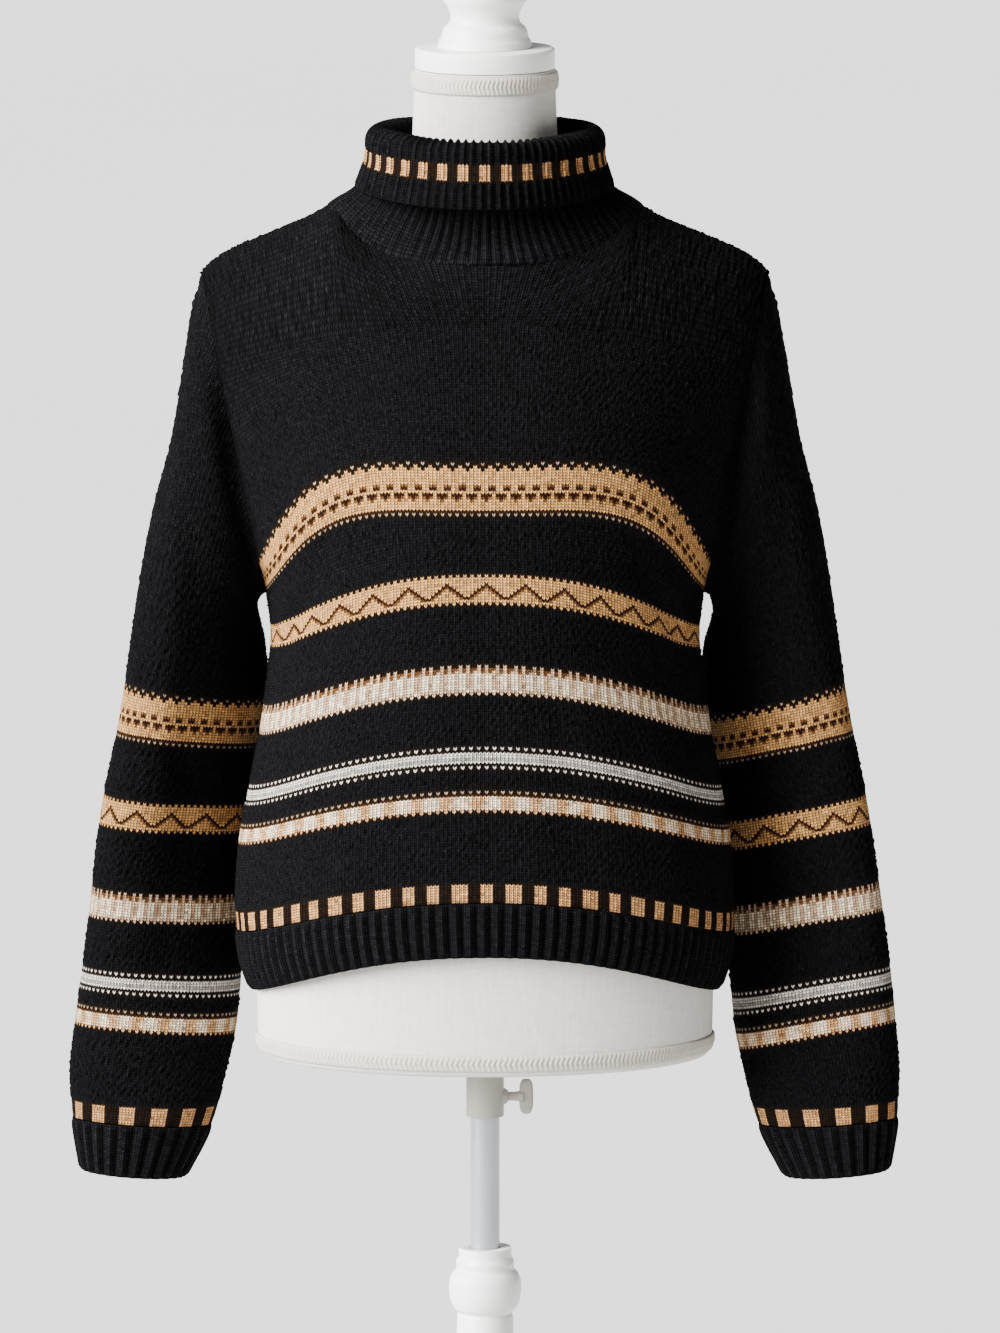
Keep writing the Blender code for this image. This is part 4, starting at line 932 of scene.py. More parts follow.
def hanging(folds, seed, closed):
    """Slow unevenness of hanging cloth and its creases, level at the borders."""
    def moved(across, up, column):
        """Distance along the normal at each point."""
        rows = np.arange(len(up))[:, None]
        calm = soft_step(rows / CALM_COURSES) * soft_step((len(up) - 1 - rows) / CALM_COURSES)
        if not closed:
            columns = np.arange(column.shape[1])[None]
            calm = calm * soft_step(np.minimum(columns, column.shape[1] - 1 - columns) / CALM_COURSES)
        slow = DRAPE_HIGH * waves(across, DRAPE_UP * up, DRAPE_WIDE, seed)
        return calm * (slow + sum(ridge(across, up, *fold) for fold in folds))
    return moved


def level_cloth(across, up, column):
    """No relief and no creases."""
    return 0 * across


def run_on(grid, length):
    """The grid with its first row moved out by this length, in line with the rows above it, so that the
    piece reaches into the one that it is sewn to."""
    step = grid[0] - grid[2]
    first = grid[0] + length * step / np.linalg.norm(step, axis=-1, keepdims=True)
    return np.concatenate([first[None], grid[1:]])


def armhole_reach(turn):
    """Where the left sleeve's top ends: on a line that lies a little way into the front and the back from
    their armhole edges, and under their cloth. Each of its points takes its turn from its height."""
    around, lines = np.arccos(np.clip(np.cos(turn), -1, 1)), []
    for face in (-1, 1):
        knots = knots_of(body_rows(panel_across(), face))
        ups = np.linspace(knots[len(BODY_ROWS)] / knots[-1], 2, ARMHOLE_SAMPLES)
        edge, inner = panel_surface(np.array([1.0, 0.98]), ups, face).transpose(1, 0, 2)
        into = (inner - edge) / np.linalg.norm(inner - edge, axis=1, keepdims=True)
        out = np.cross(into, np.gradient(edge, axis=0))
        out *= np.sign(out[:, :1]) / np.linalg.norm(out, axis=1, keepdims=True)
        own = np.arccos(np.clip(2 * (edge[:, 2] - UNDERARM_Z) / (CORNER_Z - UNDERARM_Z) - 1, -1, 1))
        reach = ARMHOLE_REACH * soft_step((math.pi - own) / REACH_TOP_FADE)
        reach *= REACH_FOOT + (1 - REACH_FOOT) * soft_step(own / REACH_FOOT_FADE)
        line = edge + reach[:, None] * into - ARMHOLE_SINK * out
        lines.append(np.stack([np.interp(around, own[::-1], values) for values in line[::-1].T], axis=-1))
    return np.where((np.sin(turn) < 0)[:, None], *lines)


def add_ribs(label, place, courses, columns, seed, side_thin=None):
    """Ribbed hem or cuff in black, from its free edge up to its seam."""
    colours = stitch_colours(np.zeros((courses, columns // 2), int), seed) * [1, 1, 1, 0]
    return knit_shell(label, place, courses, columns, RIB_WALL, colours, level_cloth, upright_ribs,
                      (FREE_THIN, SEAM_THIN, side_thin))


def add_panel(label, face, folds):
    """Front or back, with its bands at the front's courses, and the hem rib below it. Along the neck seam
    the cloth is fuller, by a bell over the last rows."""
    panel = Panel(face)
    front = panel if face < 0 else Panel(-1)
    wales = panel.columns // 2
    bands = [(front.course_at_height(height), chart) for chart, height in BODY_BANDS]
    codes = chart_codes(panel.courses, wales, bands, wales // 2)
    blocks = block_codes(panel.courses, wales, wales // 2, HEM_BLOCK_PERIOD)
    colours = stitch_colours(np.where(codes == 0, blocks, codes), 20 + face)
    at_neck = soft_step((NECK_FILL_TO * NECK_SHARE - np.abs(panel.across)) / (NECK_FILL_FADE * NECK_SHARE))
    hang = hanging(folds, 8 + face, False)

    def moved(across, up, column):
        """Distance along the normal at each point."""
        full = NECK_FILL * at_neck * np.exp(-((up[-1] - up) / NECK_FILL_WIDE) ** 2)
        return hang(across, up, column) + full
    piece = knit_shell(label, panel.place, panel.courses, panel.columns, PANEL_WALL, colours, moved,
                       bumps(colours, 6 + face), (SEAM_THIN, SEAM_THIN, ARMHOLE_THIN))
    rib = add_ribs(f"hem_rib_{label}", panel.place_rib, panel.rib_courses, HEM_RIB_COLUMNS, 30 + face,
                   HEM_SIDE_THIN)


def add_sleeve(label, side):
    """A sleeve from its cuff's seam to the armhole, and the cuff below it."""
    cuff_share, length = sleeve_share(CUFF_FROM_ROW)
    elbow_share, _ = sleeve_share("elbow")
    elbow = sleeve_surface(np.linspace(0, 2 * math.pi, RING_SAMPLES), np.array([elbow_share]), 1)[0]
    columns = four_times(2 * path_lengths(elbow)[-1] / SLEEVE_WALE)
    courses = four_times(cuff_share * length / COURSE)
    cuff_courses = four_times((1 - cuff_share) * length / COURSE)
    wales = columns // 2
    edge = sleeve_surface(np.array([0.0]), (1 - np.arange(courses + 1) / courses) * cuff_share, 1)[:, 0, 2]

    def place(column, course):
        """Points of the sleeve, with its rows lower at the inner edge and its top turned in."""
        turn = math.pi + 2 * math.pi * column / columns
        tube = sleeve_surface(turn, (1 - course / courses) * cuff_share, side)
        calm = soft_step(course / TWIST_CALM) * soft_step((courses - course) / TWIST_CALM)
        twist = SLEEVE_TWIST[side] / COURSE * ((1 - np.cos(turn)) / 2) ** 1.5
        tube = lifted(drawn_edges(tube, (SEAM_TRIM,)), -twist * calm[:, None])
        missing = armhole_reach(turn) * [side, 1, 1] - tube[-1]
        return gutter(tube + soft_step(1 - (courses - course) / TUCK_COURSES)[:, None, None] * missing)

    def place_cuff(column, course):
        """Points of the cuff, from its edge to its seam."""
        turn = math.pi + 2 * math.pi * column / CUFF_COLUMNS
        along = 1 + (cuff_share - 1) * course / cuff_courses
        return drawn_edges(sleeve_surface(turn, along, side), (0, SEAM_TRIM))
    bands = [(int(round(np.interp(height, edge, np.arange(courses + 1)))), chart)
             for chart, height in SLEEVE_BANDS[side]]
    codes = chart_codes(courses, wales, bands, wales // 2)
    blocks = block_codes(courses, wales, wales // 2, CUFF_BLOCK_PERIOD)
    colours = stitch_colours(np.where(codes == 0, blocks, codes), 40 + side)
    piece = knit_shell(f"sleeve_{label}", place, courses, columns, PANEL_WALL, colours,
                       hanging(SLEEVE_FOLDS[side], 18 + side, True), bumps(colours, 16 + side),
                       (SEAM_THIN, SEAM_THIN, None))
    cuff = add_ribs(f"cuff_{label}", place_cuff, cuff_courses, CUFF_COLUMNS, 50 + side)


def add_collar():
    """The folded turtleneck: ribs through the whole wall and a ring of blocks on the fold, with the
    middle of a light one in front."""
    columns, period = COLLAR_RIBS * len(COLLAR_RIB_SHAPE), len(COLLAR_BLOCK_SHAPE)
    along = np.linspace(COLLAR_START, 1, COLLAR_SAMPLES)
    line = collar_surface(np.array([0.0]), along)[:, 0]
    lengths = path_lengths(line)
    courses = four_times(lengths[-1] / COURSE)
    front_column = columns // (2 * period) * period + COLLAR_LIGHT_WALES

    def place(column, course):
        """Points of the collar, which reaches in under the panels."""
        shares = np.interp(course / courses * lengths[-1], lengths, along)
        return run_on(collar_surface(2 * math.pi * (column - front_column) / columns, shares), NECK_RUN)
    top = int(np.argmax(line[:, 2]))
    middle = np.interp(-COLLAR_BLOCKS_MIDDLE, -line[top:, 2], lengths[top:]) / lengths[-1] * courses
    low = int(round(middle - COLLAR_BLOCK_ROWS / 2))
    codes = np.zeros((courses, columns // 2), int)
    light = np.arange(columns // 2) % (period // 2) < COLLAR_LIGHT_WALES
    codes[low:low + COLLAR_BLOCK_ROWS] = np.where(light, YARN_NAMES.index("t"), YARN_NAMES.index("d"))
    colours = stitch_colours(codes, 60) * [1, 1, 1, 0]
    piece = knit_shell("collar", place, courses, columns, COLLAR_WALL, colours, collar_ribs(low),
                       level_cloth, (SEAM_THIN, FREE_THIN, None), True)


# Finishes. Pairs are the darkest and the lightest of what the colour is multiplied by.
STITCH_BUMP = 0.0008
LEG_PAINTED_SHADES, WALE_PAINTED_SHADES = (0.72, 1.10), (0.22, 1.66)  # painted shade between two legs or stitches, rising to painted light in their middle
FIBRE_SHADES, TUFT_SHADES = (0.72, 1.28), (0.85, 1.15)
FIBRE_SCALE, TUFT_SCALE = 1100, 260  # how fine these are
DOME_POWER, FIBRE_HIGH = 0.6, 0.7  # how full a stitch's dome is, and the fibres' height as a share of it
RELIEF_PAINTED_SHADE = 0.72  # by which the colour is lighter on the highest relief and darker in the deepest: painted light on ridges, painted shade in hollows


def node(tree, kind, *sources, **settings):
    """A node of this kind. Each source is a socket that feeds the input of the same place, or its value."""
    made = tree.nodes.new("ShaderNode" + kind)
    for name, value in settings.items():
        setattr(made, name, value)
    for socket, source in zip(made.inputs, sources):
        if isinstance(source, bpy.types.NodeSocket):
            tree.links.new(source, socket)
        else:
            socket.default_value = source
    return made


def maths(tree, operation, *sources):
    """Result of a sum, product or other operation on these values."""
    return node(tree, "Math", *sources, operation=operation).outputs[0]


def product(tree, first, *others):
    """All of these values multiplied."""
    for other in others:
        first = maths(tree, "MULTIPLY", first, other)
    return first


def coloured(tree, shader, colour, shade):
    """Gives the shader a colour, or a socket's, that is multiplied by a shade."""
    made = node(tree, "VectorMath", colour, operation="SCALE")
    tree.links.new(shade, made.inputs["Scale"])
    tree.links.new(made.outputs[0], shader.inputs["Base Color"])


def ranged(tree, value, low, high):
    """0 to 1 taken to low to high."""
    return maths(tree, "MULTIPLY_ADD", value, high - low, low)


def finish(name, roughness, specular, metallic=0.0, sheen=0.0, coat=0.0):
    """A new material, its tree and its shader, with what is the same all over set on the shader."""
    material = bpy.data.materials.new(name)
    material.use_nodes = True
    shader = material.node_tree.nodes["Principled BSDF"]
    shader.inputs["Roughness"].default_value = roughness
    shader.inputs["Specular IOR Level"].default_value = specular
    shader.inputs["Metallic"].default_value = metallic
    shader.inputs["Sheen Weight"].default_value = sheen
    shader.inputs["Sheen Roughness"].default_value = 0.5
    shader.inputs["Coat Weight"].default_value = coat
    shader.inputs["Coat Roughness"].default_value = 0.2
    return material, material.node_tree, shader


def bumped(tree, shader, height, distance):
    """Gives the shader bumps whose height runs from 0 to this distance."""
    made = node(tree, "Bump")
    made.inputs["Distance"].default_value = distance
    made.inputs["Strength"].default_value = 1.0
    tree.links.new(height, made.inputs["Height"])
    tree.links.new(made.outputs[0], shader.inputs["Normal"])


def object_noise(tree, scale, detail=2.0, stretch=(1, 1, 1)):
    """Random unevenness through the object's own space, finer the larger the scale."""
    place = node(tree, "TexCoord").outputs["Object"]
    mapped = node(tree, "Mapping", place)
    mapped.inputs["Scale"].default_value = stretch
    made = node(tree, "TexNoise", mapped.outputs[0])
    made.inputs["Scale"].default_value = scale
    made.inputs["Detail"].default_value = detail
    return made.outputs["Fac"]


def knit_finish():
    """Wool: each face of the shell is one leg of a stitch, domed and twisted, in the stitch's own colour,
    with painted shade between legs and stitches and in the relief's hollows, and painted light on their
    middles and on the relief's ridges.
    """
    material, tree, shader = finish("wool knit", 0.95, 0.05)
    yarn = node(tree, "VertexColor", layer_name="yarn")
    relief = node(tree, "Attribute", attribute_name="relief").outputs["Fac"]
    place = node(tree, "SeparateXYZ", node(tree, "UVMap", uv_map="stitches").outputs[0]).outputs
    leg = maths(tree, "FRACT", maths(tree, "MULTIPLY", place[0], 2.0))
    course = maths(tree, "FRACT", place[1])

    def dome(share):
        """Half a wave: 0 at both ends of the share, 1 in its middle."""
        return maths(tree, "SINE", maths(tree, "MULTIPLY", share, math.pi))
    stitch = maths(tree, "POWER", product(tree, dome(leg), dome(course)), DOME_POWER)
    wale = product(tree, dome(maths(tree, "FRACT", place[0])), dome(course))
    fibre = object_noise(tree, FIBRE_SCALE, 3)
    tuft = object_noise(tree, TUFT_SCALE, 2)
    height = maths(tree, "ADD", stitch, maths(tree, "MULTIPLY", fibre, FIBRE_HIGH))
    bumped(tree, shader, height, STITCH_BUMP)
    # Painted shade in the hollows of the ribs and bumps, and painted light on their ridges.
    painted_relief_shade = maths(tree, "MULTIPLY_ADD", relief, RELIEF_PAINTED_SHADE, 1.0)
    # Painted shade between the legs and the stitches and painted light on their middles; the fibres and tufts
    # vary at random.
    shade = product(tree, ranged(tree, stitch, *LEG_PAINTED_SHADES), ranged(tree, wale, *WALE_PAINTED_SHADES),
                    ranged(tree, fibre, *FIBRE_SHADES), ranged(tree, tuft, *TUFT_SHADES), painted_relief_shade)
    coloured(tree, shader, yarn.outputs["Color"], shade)
    return material


def weave_finish(name, colour, pitch, depth):
    """Plain weave: two crossed sets of threads by the piece's own map, with slubs and soft stains."""
    material, tree, shader = finish(name, 0.88, 0.2, sheen=0.1)
    place = node(tree, "SeparateXYZ", node(tree, "UVMap", uv_map="cloth").outputs[0]).outputs

    def thread(value):
        """A set of parallel threads, as a wave of this pitch."""
        return maths(tree, "SINE", maths(tree, "MULTIPLY", value, 2 * math.pi / pitch))
    weave = product(tree, thread(place[0]), thread(place[1]))
    slub = maths(tree, "ADD", object_noise(tree, 420, 2, (1, 1, 0.12)),
                 object_noise(tree, 420, 2, (0.2, 0.2, 1.4)))
    bumped(tree, shader, maths(tree, "ADD", ranged(tree, weave, 0.0, 0.5), slub), depth)
    shade = product(tree, ranged(tree, weave, 1.0, 1.035), ranged(tree, slub, 0.84, 1.16),
                    ranged(tree, object_noise(tree, 14, 3), 0.96, 1.04))
    coloured(tree, shader, linear(colour), shade)
    return material


def coated_finish(name, colour, roughness, specular, metallic, scale, depth, coat=0.0):
    """Painted, moulded or coated surface: fine unevenness, faint cloudiness and slightly varied gloss."""
    material, tree, shader = finish(name, roughness, specular, metallic, coat=coat)
    fine, cloud = object_noise(tree, scale, 3), object_noise(tree, 30, 3)
    bumped(tree, shader, fine, depth)
    tree.links.new(ranged(tree, cloud, roughness - 0.08, roughness + 0.08), shader.inputs["Roughness"])
    shade = product(tree, ranged(tree, cloud, 0.95, 1.05), ranged(tree, fine, 0.97, 1.03))
    coloured(tree, shader, linear(colour), shade)
    return material


# Form and stand
# Points round each turned piece, round the screw, its wing and a leg, and round the torso and its braids
ROUND_POINTS, SCREW_POINTS, WING_POINTS, LEG_POINTS = 96, 48, 64, 28
TORSO_POINTS, TORSO_STEP = 160, 0.008  # the step is up the torso
NECK_BRAID_POINTS, BASE_BRAID_POINTS, BRAID_LEVELS, BRAID_ROWS = 520, 1440, 13, 3
TORSO_TUCK = 0.0008  # by which the linen lies inside the faceted solid where the sweater covers it
COVERED_FROM, COVERED_TO = (0.87, 0.90), (1.51, 1.53)  # heights between which that grows and fades
NECK_RADIUS = 0.056
NECK_SEAM_OUT, NECK_SEAM_DEEP, NECK_SEAM_WIDE = 0.053, 0.0005, 0.0012
NECK_SEAM_FROM, NECK_SEAM_FADE = 1.50, 0.02  # height from which a neck seam shows, and over which it grows
BRAID_PLAIT, BRAID_HIGH = 0.0034, 0.00055  # length and height of a braid's lobes
BRAID_SLANT, BRAID_GROOVE = 1.4, 0.4  # how far they lean, and the depth between their rows, in heights
BRAID_EDGE, BRAID_CROWN, BRAID_ROUND = 0.35, 0.55, 0.45  # shares of its thickness, and the power of its curve
BRAID_LEAST = 0.0004  # by which it stands off everywhere, besides its gap
SHARP, SHARP_TURNED = 50, 60  # degrees from which an edge is drawn sharp


def skin(name, rings, ends, material, nodes, body, sharp=None):
    """Closed surface through rings of points that turn anticlockwise seen from the end that they rise to.
    ends is "capped" for a flat fan at each end, or "joined" where the last ring meets the first. sharp is
    the angle from which an edge is drawn sharp. Its map holds metres round the rings and along them."""
    levels, points = rings.shape[:2]
    index = np.arange(levels * points).reshape(levels, points)
    if ends == "joined":
        index = np.concatenate([index, index[:1]])
    faces, columns, rows = quads(index, True, False)
    looped = np.concatenate([rings, rings[:, :1]], axis=1)
    round_reach = path_lengths(looped[np.argmax(np.ptp(rings[..., 0], axis=1))])
    rise = np.linalg.norm(np.diff(rings, axis=0, append=rings[:1]), axis=2).mean(axis=1)
    along_reach = np.concatenate([[0], np.cumsum(rise)])
    uv = np.stack([round_reach[columns], along_reach[rows]], axis=-1)
    all_points, all_faces, uvs = rings.reshape(-1, 3), faces.tolist(), [uv.reshape(-1, 2)]
    if ends == "capped":
        centres = rings[[0, -1]].mean(axis=1)
        all_points = np.concatenate([all_points, centres])
        first, second = index[0], index[-1]
        low = np.stack([np.roll(first, -1), first, np.full(points, levels * points)], axis=1)
        high = np.stack([second, np.roll(second, -1), np.full(points, levels * points + 1)], axis=1)
        caps = np.concatenate([low, high])
        all_faces += caps.tolist()
        uvs.append(all_points[caps][..., :2].reshape(-1, 2))
    mesh = bpy.data.meshes.new(name)
    mesh.from_pydata(all_points.tolist(), [], all_faces)
    mesh.uv_layers.new(name="cloth").data.foreach_set("uv", np.concatenate(uvs).astype(np.float32).ravel())
    new_piece(name, mesh, material, nodes, body)
    if sharp:
        mesh.set_sharp_from_angle(angle=math.radians(sharp))


def turned_rings(profile, points=ROUND_POINTS):
    """Rings about the pole's axis through a profile of radius and height, lowest first."""
    turn = all_round(points) - math.pi / 2
    radius, height = np.array(profile, float).T[..., None, None]
    circle = np.stack([np.cos(turn), np.sin(turn)], axis=-1)
    return np.concatenate([radius * circle, np.repeat(height, points, axis=1)], axis=-1)


def rounded(profile, samples=5):
    """The profile as a smooth curve, with this many steps from one of its points to the next."""
    profile = np.array(profile, float)
    knots = path_lengths(profile)
    steps = [np.linspace(low, high, samples, endpoint=False) for low, high in zip(knots, knots[1:])]
    return smooth(knots, profile, np.append(np.concatenate(steps), knots[-1]))


def corner(radius, height, size, start, end, steps=5):
    """Quarter round of a profile about (radius, height), from one angle to the other."""
    angle = np.radians(np.linspace(start, end, steps))
    return np.stack([radius + size * np.cos(angle), height + size * np.sin(angle)], axis=-1)


def torso_table(heights):
    """Half width and the depths in front and behind at these heights, as smooth curves."""
    table = np.array([row[1:] for row in TORSO_ROWS])
    return smooth(table[:, 0], table[:, 1:], heights)


def torso_rings(turn, heights, grow):
    """The torso's sections, an ellipse with its own depth in front and behind, moved out by grow."""
    half_width, front, back = (column[:, None] for column in torso_table(heights).T)
    depth = np.where(np.cos(turn) > 0, front, back) + grow
    rise = np.repeat(heights[:, None], len(turn), axis=1)
    return np.stack([(half_width + grow) * np.sin(turn), -depth * np.cos(turn), rise], axis=-1)


def add_torso():
    """Linen torso: up the bore and out under it, then up the side to the neck, with two neck seams."""
    knots = np.array([row[1] for row in TORSO_ROWS])
    heights = np.unique(np.concatenate([np.linspace(low, high, max(2, int((high - low) / TORSO_STEP)) + 1)
                                        for low, high in zip(knots, knots[1:])]).round(6))
    covered = soft_step((heights - COVERED_FROM[0]) / (COVERED_FROM[1] - COVERED_FROM[0]))
    covered *= soft_step((COVERED_TO[1] - heights) / (COVERED_TO[1] - COVERED_TO[0]))
    rings = torso_rings(all_round(TORSO_POINTS), heights, -TORSO_TUCK * covered[:, None])
    seam = np.exp(-((np.abs(rings[..., 0]) - NECK_SEAM_OUT) / NECK_SEAM_WIDE) ** 2) * (rings[..., 1] < 0)
    seam *= soft_step((heights - NECK_SEAM_FROM) / NECK_SEAM_FADE)[:, None]
    rings[..., :2] *= (1 - NECK_SEAM_DEEP * seam / NECK_RADIUS)[..., None]
    radius, top, edge = POLE_RADIUS + POLE_RUN, POLE_HIGH + FORM_DROP + BORE_TOP_ROOM, 0.001
    bore = turned_rings([(radius, top), (radius, knots[0] + edge), (radius + edge, knots[0])], TORSO_POINTS)
    skin("torso_linen", np.concatenate([bore, rings]), "capped", LINEN, ["torso"], "form", SHARP)


def add_braid(name, low, high, points):
    """Plaited braid: a band round the torso whose face has three rows of slanting lobes."""
    turn, share = all_round(points), np.linspace(0, 1, BRAID_LEVELS)
    heights = low + (high - low) * share
    crown = np.sin(math.pi * share) ** BRAID_ROUND
    middle = torso_rings(turn, heights, 0)[BRAID_LEVELS // 2]
    inner = torso_rings(turn, np.array([high, low]), CONTACT_GAP)
    reach = path_lengths(np.concatenate([middle, middle[:1]]))[:-1]
    phase = turn * round(reach[-1] / BRAID_PLAIT)
    row, lane = (share * BRAID_ROWS).astype(int), np.abs((share * BRAID_ROWS) % 1 - 0.5) * 2
    lean = np.where(row % 2 == 0, 1, -1)
    plait = np.cos(phase[None] + (lean * lane * BRAID_SLANT)[:, None] + row[:, None] * math.pi)
    thick = CONTACT_GAP + BRAID_THICK * (BRAID_EDGE + BRAID_CROWN * crown)
    lobes = plait * np.sin(math.pi * share)[:, None] - BRAID_GROOVE * lane[:, None]
    grow = thick[:, None] + BRAID_HIGH * lobes
    outer = torso_rings(turn, heights, np.maximum(grow, CONTACT_GAP + BRAID_LEAST))
    skin(name + "_plait", np.concatenate([outer, inner]), "joined", BRAID, [name], "form")


def add_finial():
    """Round-edged disc on the neck and the turned knob above it."""
    low, edge = DISC_TOP - DISC_THICK, 0.0022
    disc = np.concatenate([corner(DISC_RADIUS - 0.001, low + 0.001, 0.001, -90, 0),
                           corner(DISC_RADIUS - edge, DISC_TOP - edge, edge, 0, 90)])
    skin("neck_disc_turned", turned_rings(disc), "capped", PAINT, ["neck_disc"], "form", SHARP)
    lift = DISC_TOP + CONTACT_GAP - FINIAL_PROFILE[-1][2]
    knob = rounded([(r, z + lift) for _, r, z in FINIAL_PROFILE][::-1])
    skin("finial_turned", turned_rings(knob), "capped", PAINT, ["finial"], "form",
         SHARP_TURNED)


def add_clamp():
    """Plastic sleeve round the pole, with a boss that narrows towards the screw."""
    high, bore, edge = TORSO_ROWS[0][1] - CONTACT_GAP, POLE_RADIUS + POLE_RUN, 0.0008
    shell = np.concatenate([[(bore, CLAMP_LOW)], corner(CLAMP_RADIUS - edge, CLAMP_LOW + edge, edge, -90, 0),
                            corner(CLAMP_RADIUS - edge, high - edge, edge, 0, 90), [(bore, high)]])
    skin("clamp_sleeve", turned_rings(shell), "joined", PLASTIC, ["clamp_collar"], "form",
         SHARP)
    hole = SCREW_RADIUS + SCREW_HOLE_ROOM
    boss = [(hole, CLAMP_BOSS_OUT), (hole, bore + 0.0005), (CLAMP_BOSS_RADIUS + 0.0012, bore + 0.0005),
            (CLAMP_BOSS_RADIUS + 0.0008, CLAMP_RADIUS), (CLAMP_BOSS_RADIUS - 0.0010, CLAMP_BOSS_OUT - 0.0006),
            (CLAMP_BOSS_RADIUS - 0.0016, CLAMP_BOSS_OUT)]
    skin("clamp_boss", sideways(turned_rings(boss[::-1], SCREW_POINTS)[::-1]), "joined", PLASTIC, [], "form",
         SHARP)


def sideways(rings):
    """Rings about the upright axis, turned to lie along +X on the screw's axis."""
    return np.stack([rings[..., 2], rings[..., 1], SCREW_Z - rings[..., 0]], axis=-1)


def add_thumb_screw():
    """Shank and neck along +X, and a flat wing that is a rounded oblong seen from the front."""
    start, neck = POLE_RADIUS + POLE_RUN + CONTACT_GAP, SCREW_HEAD_FROM
    shank = [(SCREW_RADIUS - 0.0005, start), (SCREW_RADIUS, start + 0.0005), (SCREW_RADIUS, neck - 0.006),
             (SCREW_RADIUS + 0.0002, neck - 0.002), (SCREW_RADIUS + 0.0010, neck + 0.001),
             (SCREW_RADIUS + 0.0012, neck + 0.003)]
    skin("screw_shank", sideways(turned_rings(rounded(shank, 4), SCREW_POINTS)), "capped", PLASTIC,
         ["thumb_screw"], "thumb_screw", SHARP)
    around, over = all_round(WING_POINTS), np.linspace(-1, 1, 15) * (math.pi / 2 - 0.02)

    def rooted(wave, power):
        """The wave with its own sign, made fuller by a power below 1."""
        return np.sign(wave) * np.abs(wave) ** power
    middle, half = (SCREW_HEAD_FROM + SCREW_HEAD_TO) / 2, (SCREW_HEAD_TO - SCREW_HEAD_FROM) / 2
    level = np.cos(over)[:, None] ** 0.45
    aside = np.repeat(rooted(np.sin(over), 0.8)[:, None], WING_POINTS, axis=1)
    rings = np.stack([middle + half * level * rooted(np.cos(around), 0.62),
                      -SCREW_WING_THICK / 2 * aside,
                      SCREW_Z + SCREW_WING_HALF * level * rooted(np.sin(around), 0.62)], axis=-1)
    skin("screw_wing", rings, "capped", PLASTIC, [], "thumb_screw")


def add_pole():
    """Coated tube with rounded ends."""
    edge = 0.0010
    pole = np.concatenate([corner(POLE_RADIUS - edge, POLE_LOW + edge, edge, -90, 0),
                           corner(POLE_RADIUS - edge, POLE_HIGH - edge, edge, 0, 90)])
    skin("pole_tube", turned_rings(pole), "capped", STEEL, ["pole"], "pole", SHARP)


def add_column():
    """Turned column, up its outside and down the bore that holds the pole."""
    bore = POLE_RADIUS + POLE_RUN
    outside = rounded([(r, z) for _, r, z in COLUMN_PROFILE][::-1], 4)
    top = COLUMN_PROFILE[0][2]
    inside = [(bore + 0.0008, top), (bore, top - 0.0008), (bore, POLE_LOW - CONTACT_GAP)]
    skin("column_turned", turned_rings(np.concatenate([outside, inside])), "capped", PAINT, ["column"],
         "stand", SHARP_TURNED)


def add_legs():
    """Each leg is a round-edged board: sections from its upper to its lower curve, hub to toe, with more
    of them at the toe."""
    share = np.concatenate([np.linspace(0, 0.97, 40), [0.985, 0.995, 1.0]])

    def edge_line(*points):
        """Smooth curve through the points, at the sections."""
        knots = path_lengths(np.array(points))
        return smooth(knots / knots[-1], points, share)
    upper = edge_line(*LEG_UPPER, (LEG_TOE_OUT, LEG_TOE_HIGH))
    lower = edge_line(*LEG_LOWER, (LEG_TOE_OUT - LEG_TOE_BACK, 0.0))
    middle, half = (upper + lower) / 2, (upper - lower) / 2
    around = all_round(LEG_POINTS)
    blade, side = (np.sign(wave) * np.abs(wave) ** 0.35 for wave in (np.cos(around), np.sin(around)))
    for number in range(LEG_COUNT):
        angle = LEG_FIRST_ANGLE + number * 2 * math.pi / LEG_COUNT
        out = middle[:, None, 0] + half[:, None, 0] * blade
        rise = np.maximum(middle[:, None, 1] + half[:, None, 1] * blade, 0)
        aside = np.repeat(LEG_THICK / 2 * side[None], len(share), axis=0)
        rings = np.stack([out * math.cos(angle) + aside * math.sin(angle),
                          out * math.sin(angle) - aside * math.cos(angle), rise], axis=-1)
        name = f"leg_{number + 1}"
        skin(f"{name}_board", rings, "capped", PAINT, [name], "stand", SHARP)


# View and light
FRAME_MIDDLE = (0.012, 0.0, 1.1183)  # the point at the middle of the photo's frame
FRAME_HIGH = 1.0664
CAMERA_AWAY, CAMERA_TILT = 10.0, math.radians(8.9)
SENSOR = 36.0
FLOOR_RADIUS, FLOOR_POINTS = 60.0, 64
FLOOR_COLOUR = (206, 206, 205)
ROOM_LIGHT, ROOM_COLOUR = 0.25, (0.98, 0.99, 1.0, 1)
SUN_AZIMUTH, SUN_RISE = math.radians(-62), math.radians(27)  # 0 is in front of the form, 90 at its left, +X
SUN_STRENGTH, SUN_SPREAD = 22.5, math.radians(48)


def add_floor():
    """Pale round floor, hardly clouded."""
    turn = all_round(FLOOR_POINTS)
    mesh = bpy.data.meshes.new("floor")
    rim = np.stack([FLOOR_RADIUS * np.cos(turn), FLOOR_RADIUS * np.sin(turn), 0 * turn], axis=-1)
    mesh.from_pydata(rim.tolist(), [], [list(range(len(turn)))])
    material, tree, shader = finish("floor paint", 0.9, 0.1)
    coloured(tree, shader, linear(FLOOR_COLOUR), ranged(tree, object_noise(tree, 0.6, 2), 0.985, 1.015))
    mesh.materials.append(material)
    floor = placed("floor", mesh)


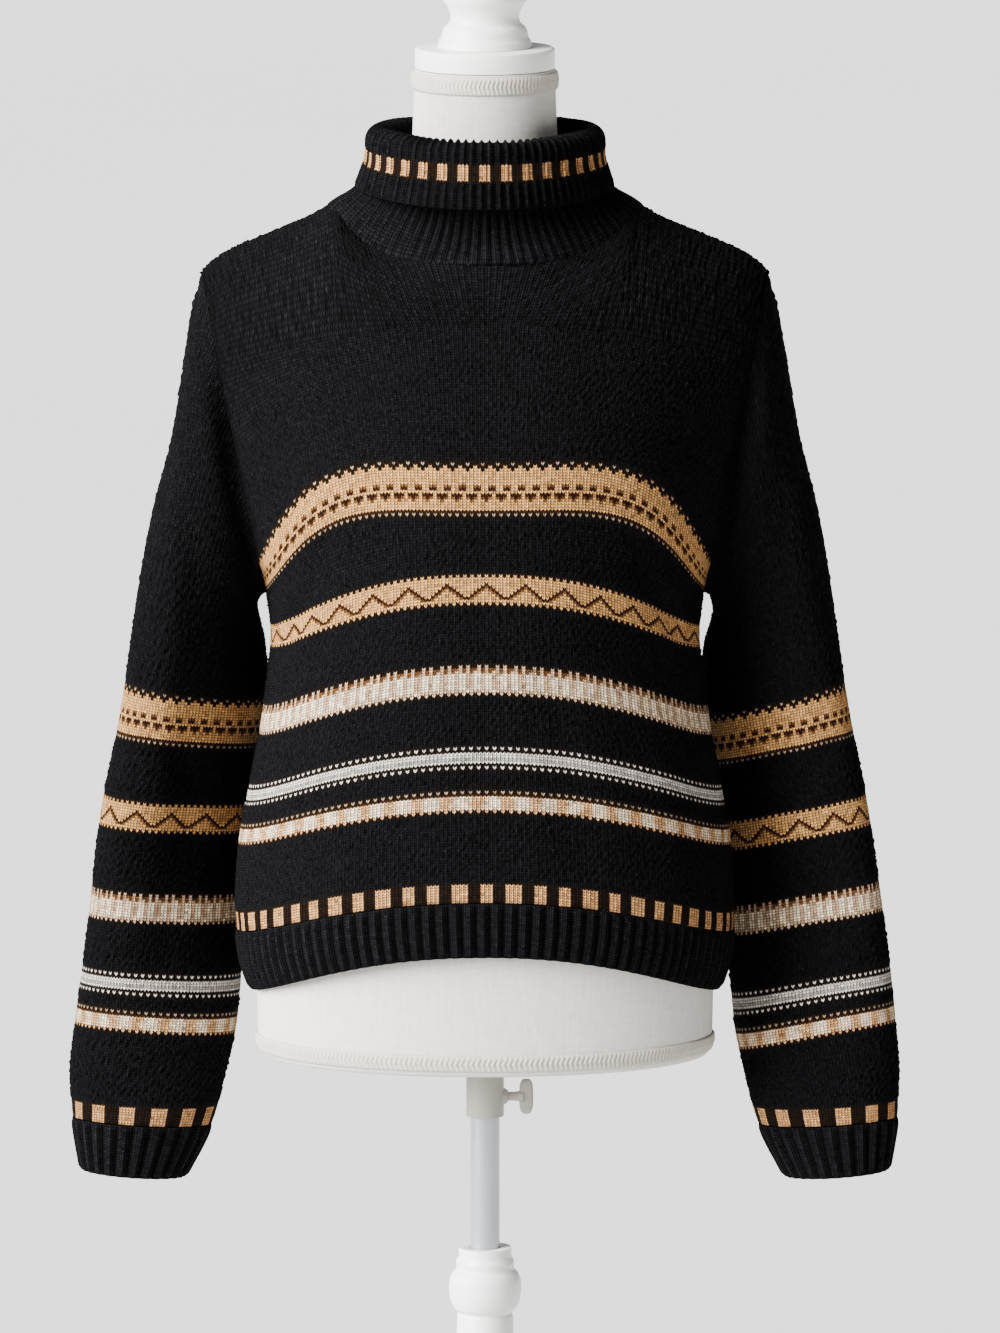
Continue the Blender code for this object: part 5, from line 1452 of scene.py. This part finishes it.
def add_sun():
    """The key light, distant and soft."""
    light = bpy.data.lights.new("key light", "SUN")
    light.energy, light.angle = SUN_STRENGTH, SUN_SPREAD
    lamp = placed("key light", light)
    level = math.cos(SUN_RISE)
    towards = Vector((math.sin(SUN_AZIMUTH) * level, -math.cos(SUN_AZIMUTH) * level, math.sin(SUN_RISE)))
    lamp.rotation_mode = "QUATERNION"
    lamp.rotation_quaternion = towards.to_track_quat("Z", "Y")


def add_room():
    """Even light from all round."""
    world = bpy.data.worlds.new("room")
    world.use_nodes = True
    background = world.node_tree.nodes["Background"]
    background.inputs["Color"].default_value = ROOM_COLOUR
    background.inputs["Strength"].default_value = ROOM_LIGHT
    bpy.context.scene.world = world


def add_camera():
    """Camera at the photo's angle and frame."""
    data = bpy.data.cameras.new("camera")
    data.sensor_width = SENSOR
    data.lens = SENSOR * CAMERA_AWAY / FRAME_HIGH
    data.clip_end = 200
    camera = placed("camera", data)
    back = Vector((0, -math.cos(CAMERA_TILT), math.sin(CAMERA_TILT)))
    camera.location = Vector(FRAME_MIDDLE) + back * CAMERA_AWAY
    camera.rotation_euler = back.to_track_quat("Z", "Y").to_euler()
    bpy.context.scene.camera = camera


KNIT = knit_finish()
LINEN = weave_finish("linen", (191, 186, 180), 0.0011, 0.00022)
BRAID = weave_finish("linen braid", (182, 175, 164), 0.0008, 0.00025)
PAINT = coated_finish("white paint", (228, 227, 224), 0.42, 0.5, 0.0, 220, 0.00004, coat=0.15)
PLASTIC = coated_finish("grey plastic", (142, 139, 129), 0.5, 0.5, 0.0, 700, 0.00003)
STEEL = coated_finish("coated steel", (158, 161, 165), 0.34, 0.5, 0.55, 900, 0.00001, coat=0.3)

add_panel("front", -1, FRONT_FOLDS)
add_panel("back", 1, BACK_FOLDS)
add_sleeve("right", -1)
add_sleeve("left", 1)
add_collar()
add_torso()
add_braid("neck_braid", NECK_BRAID_LOW, NECK_BRAID_HIGH, NECK_BRAID_POINTS)
add_braid("base_braid", BASE_BRAID_LOW, BASE_BRAID_HIGH, BASE_BRAID_POINTS)
add_finial()
add_clamp()
add_thumb_screw()
add_pole()
add_column()
add_legs()
add_floor()
add_sun()
add_room()
add_camera()
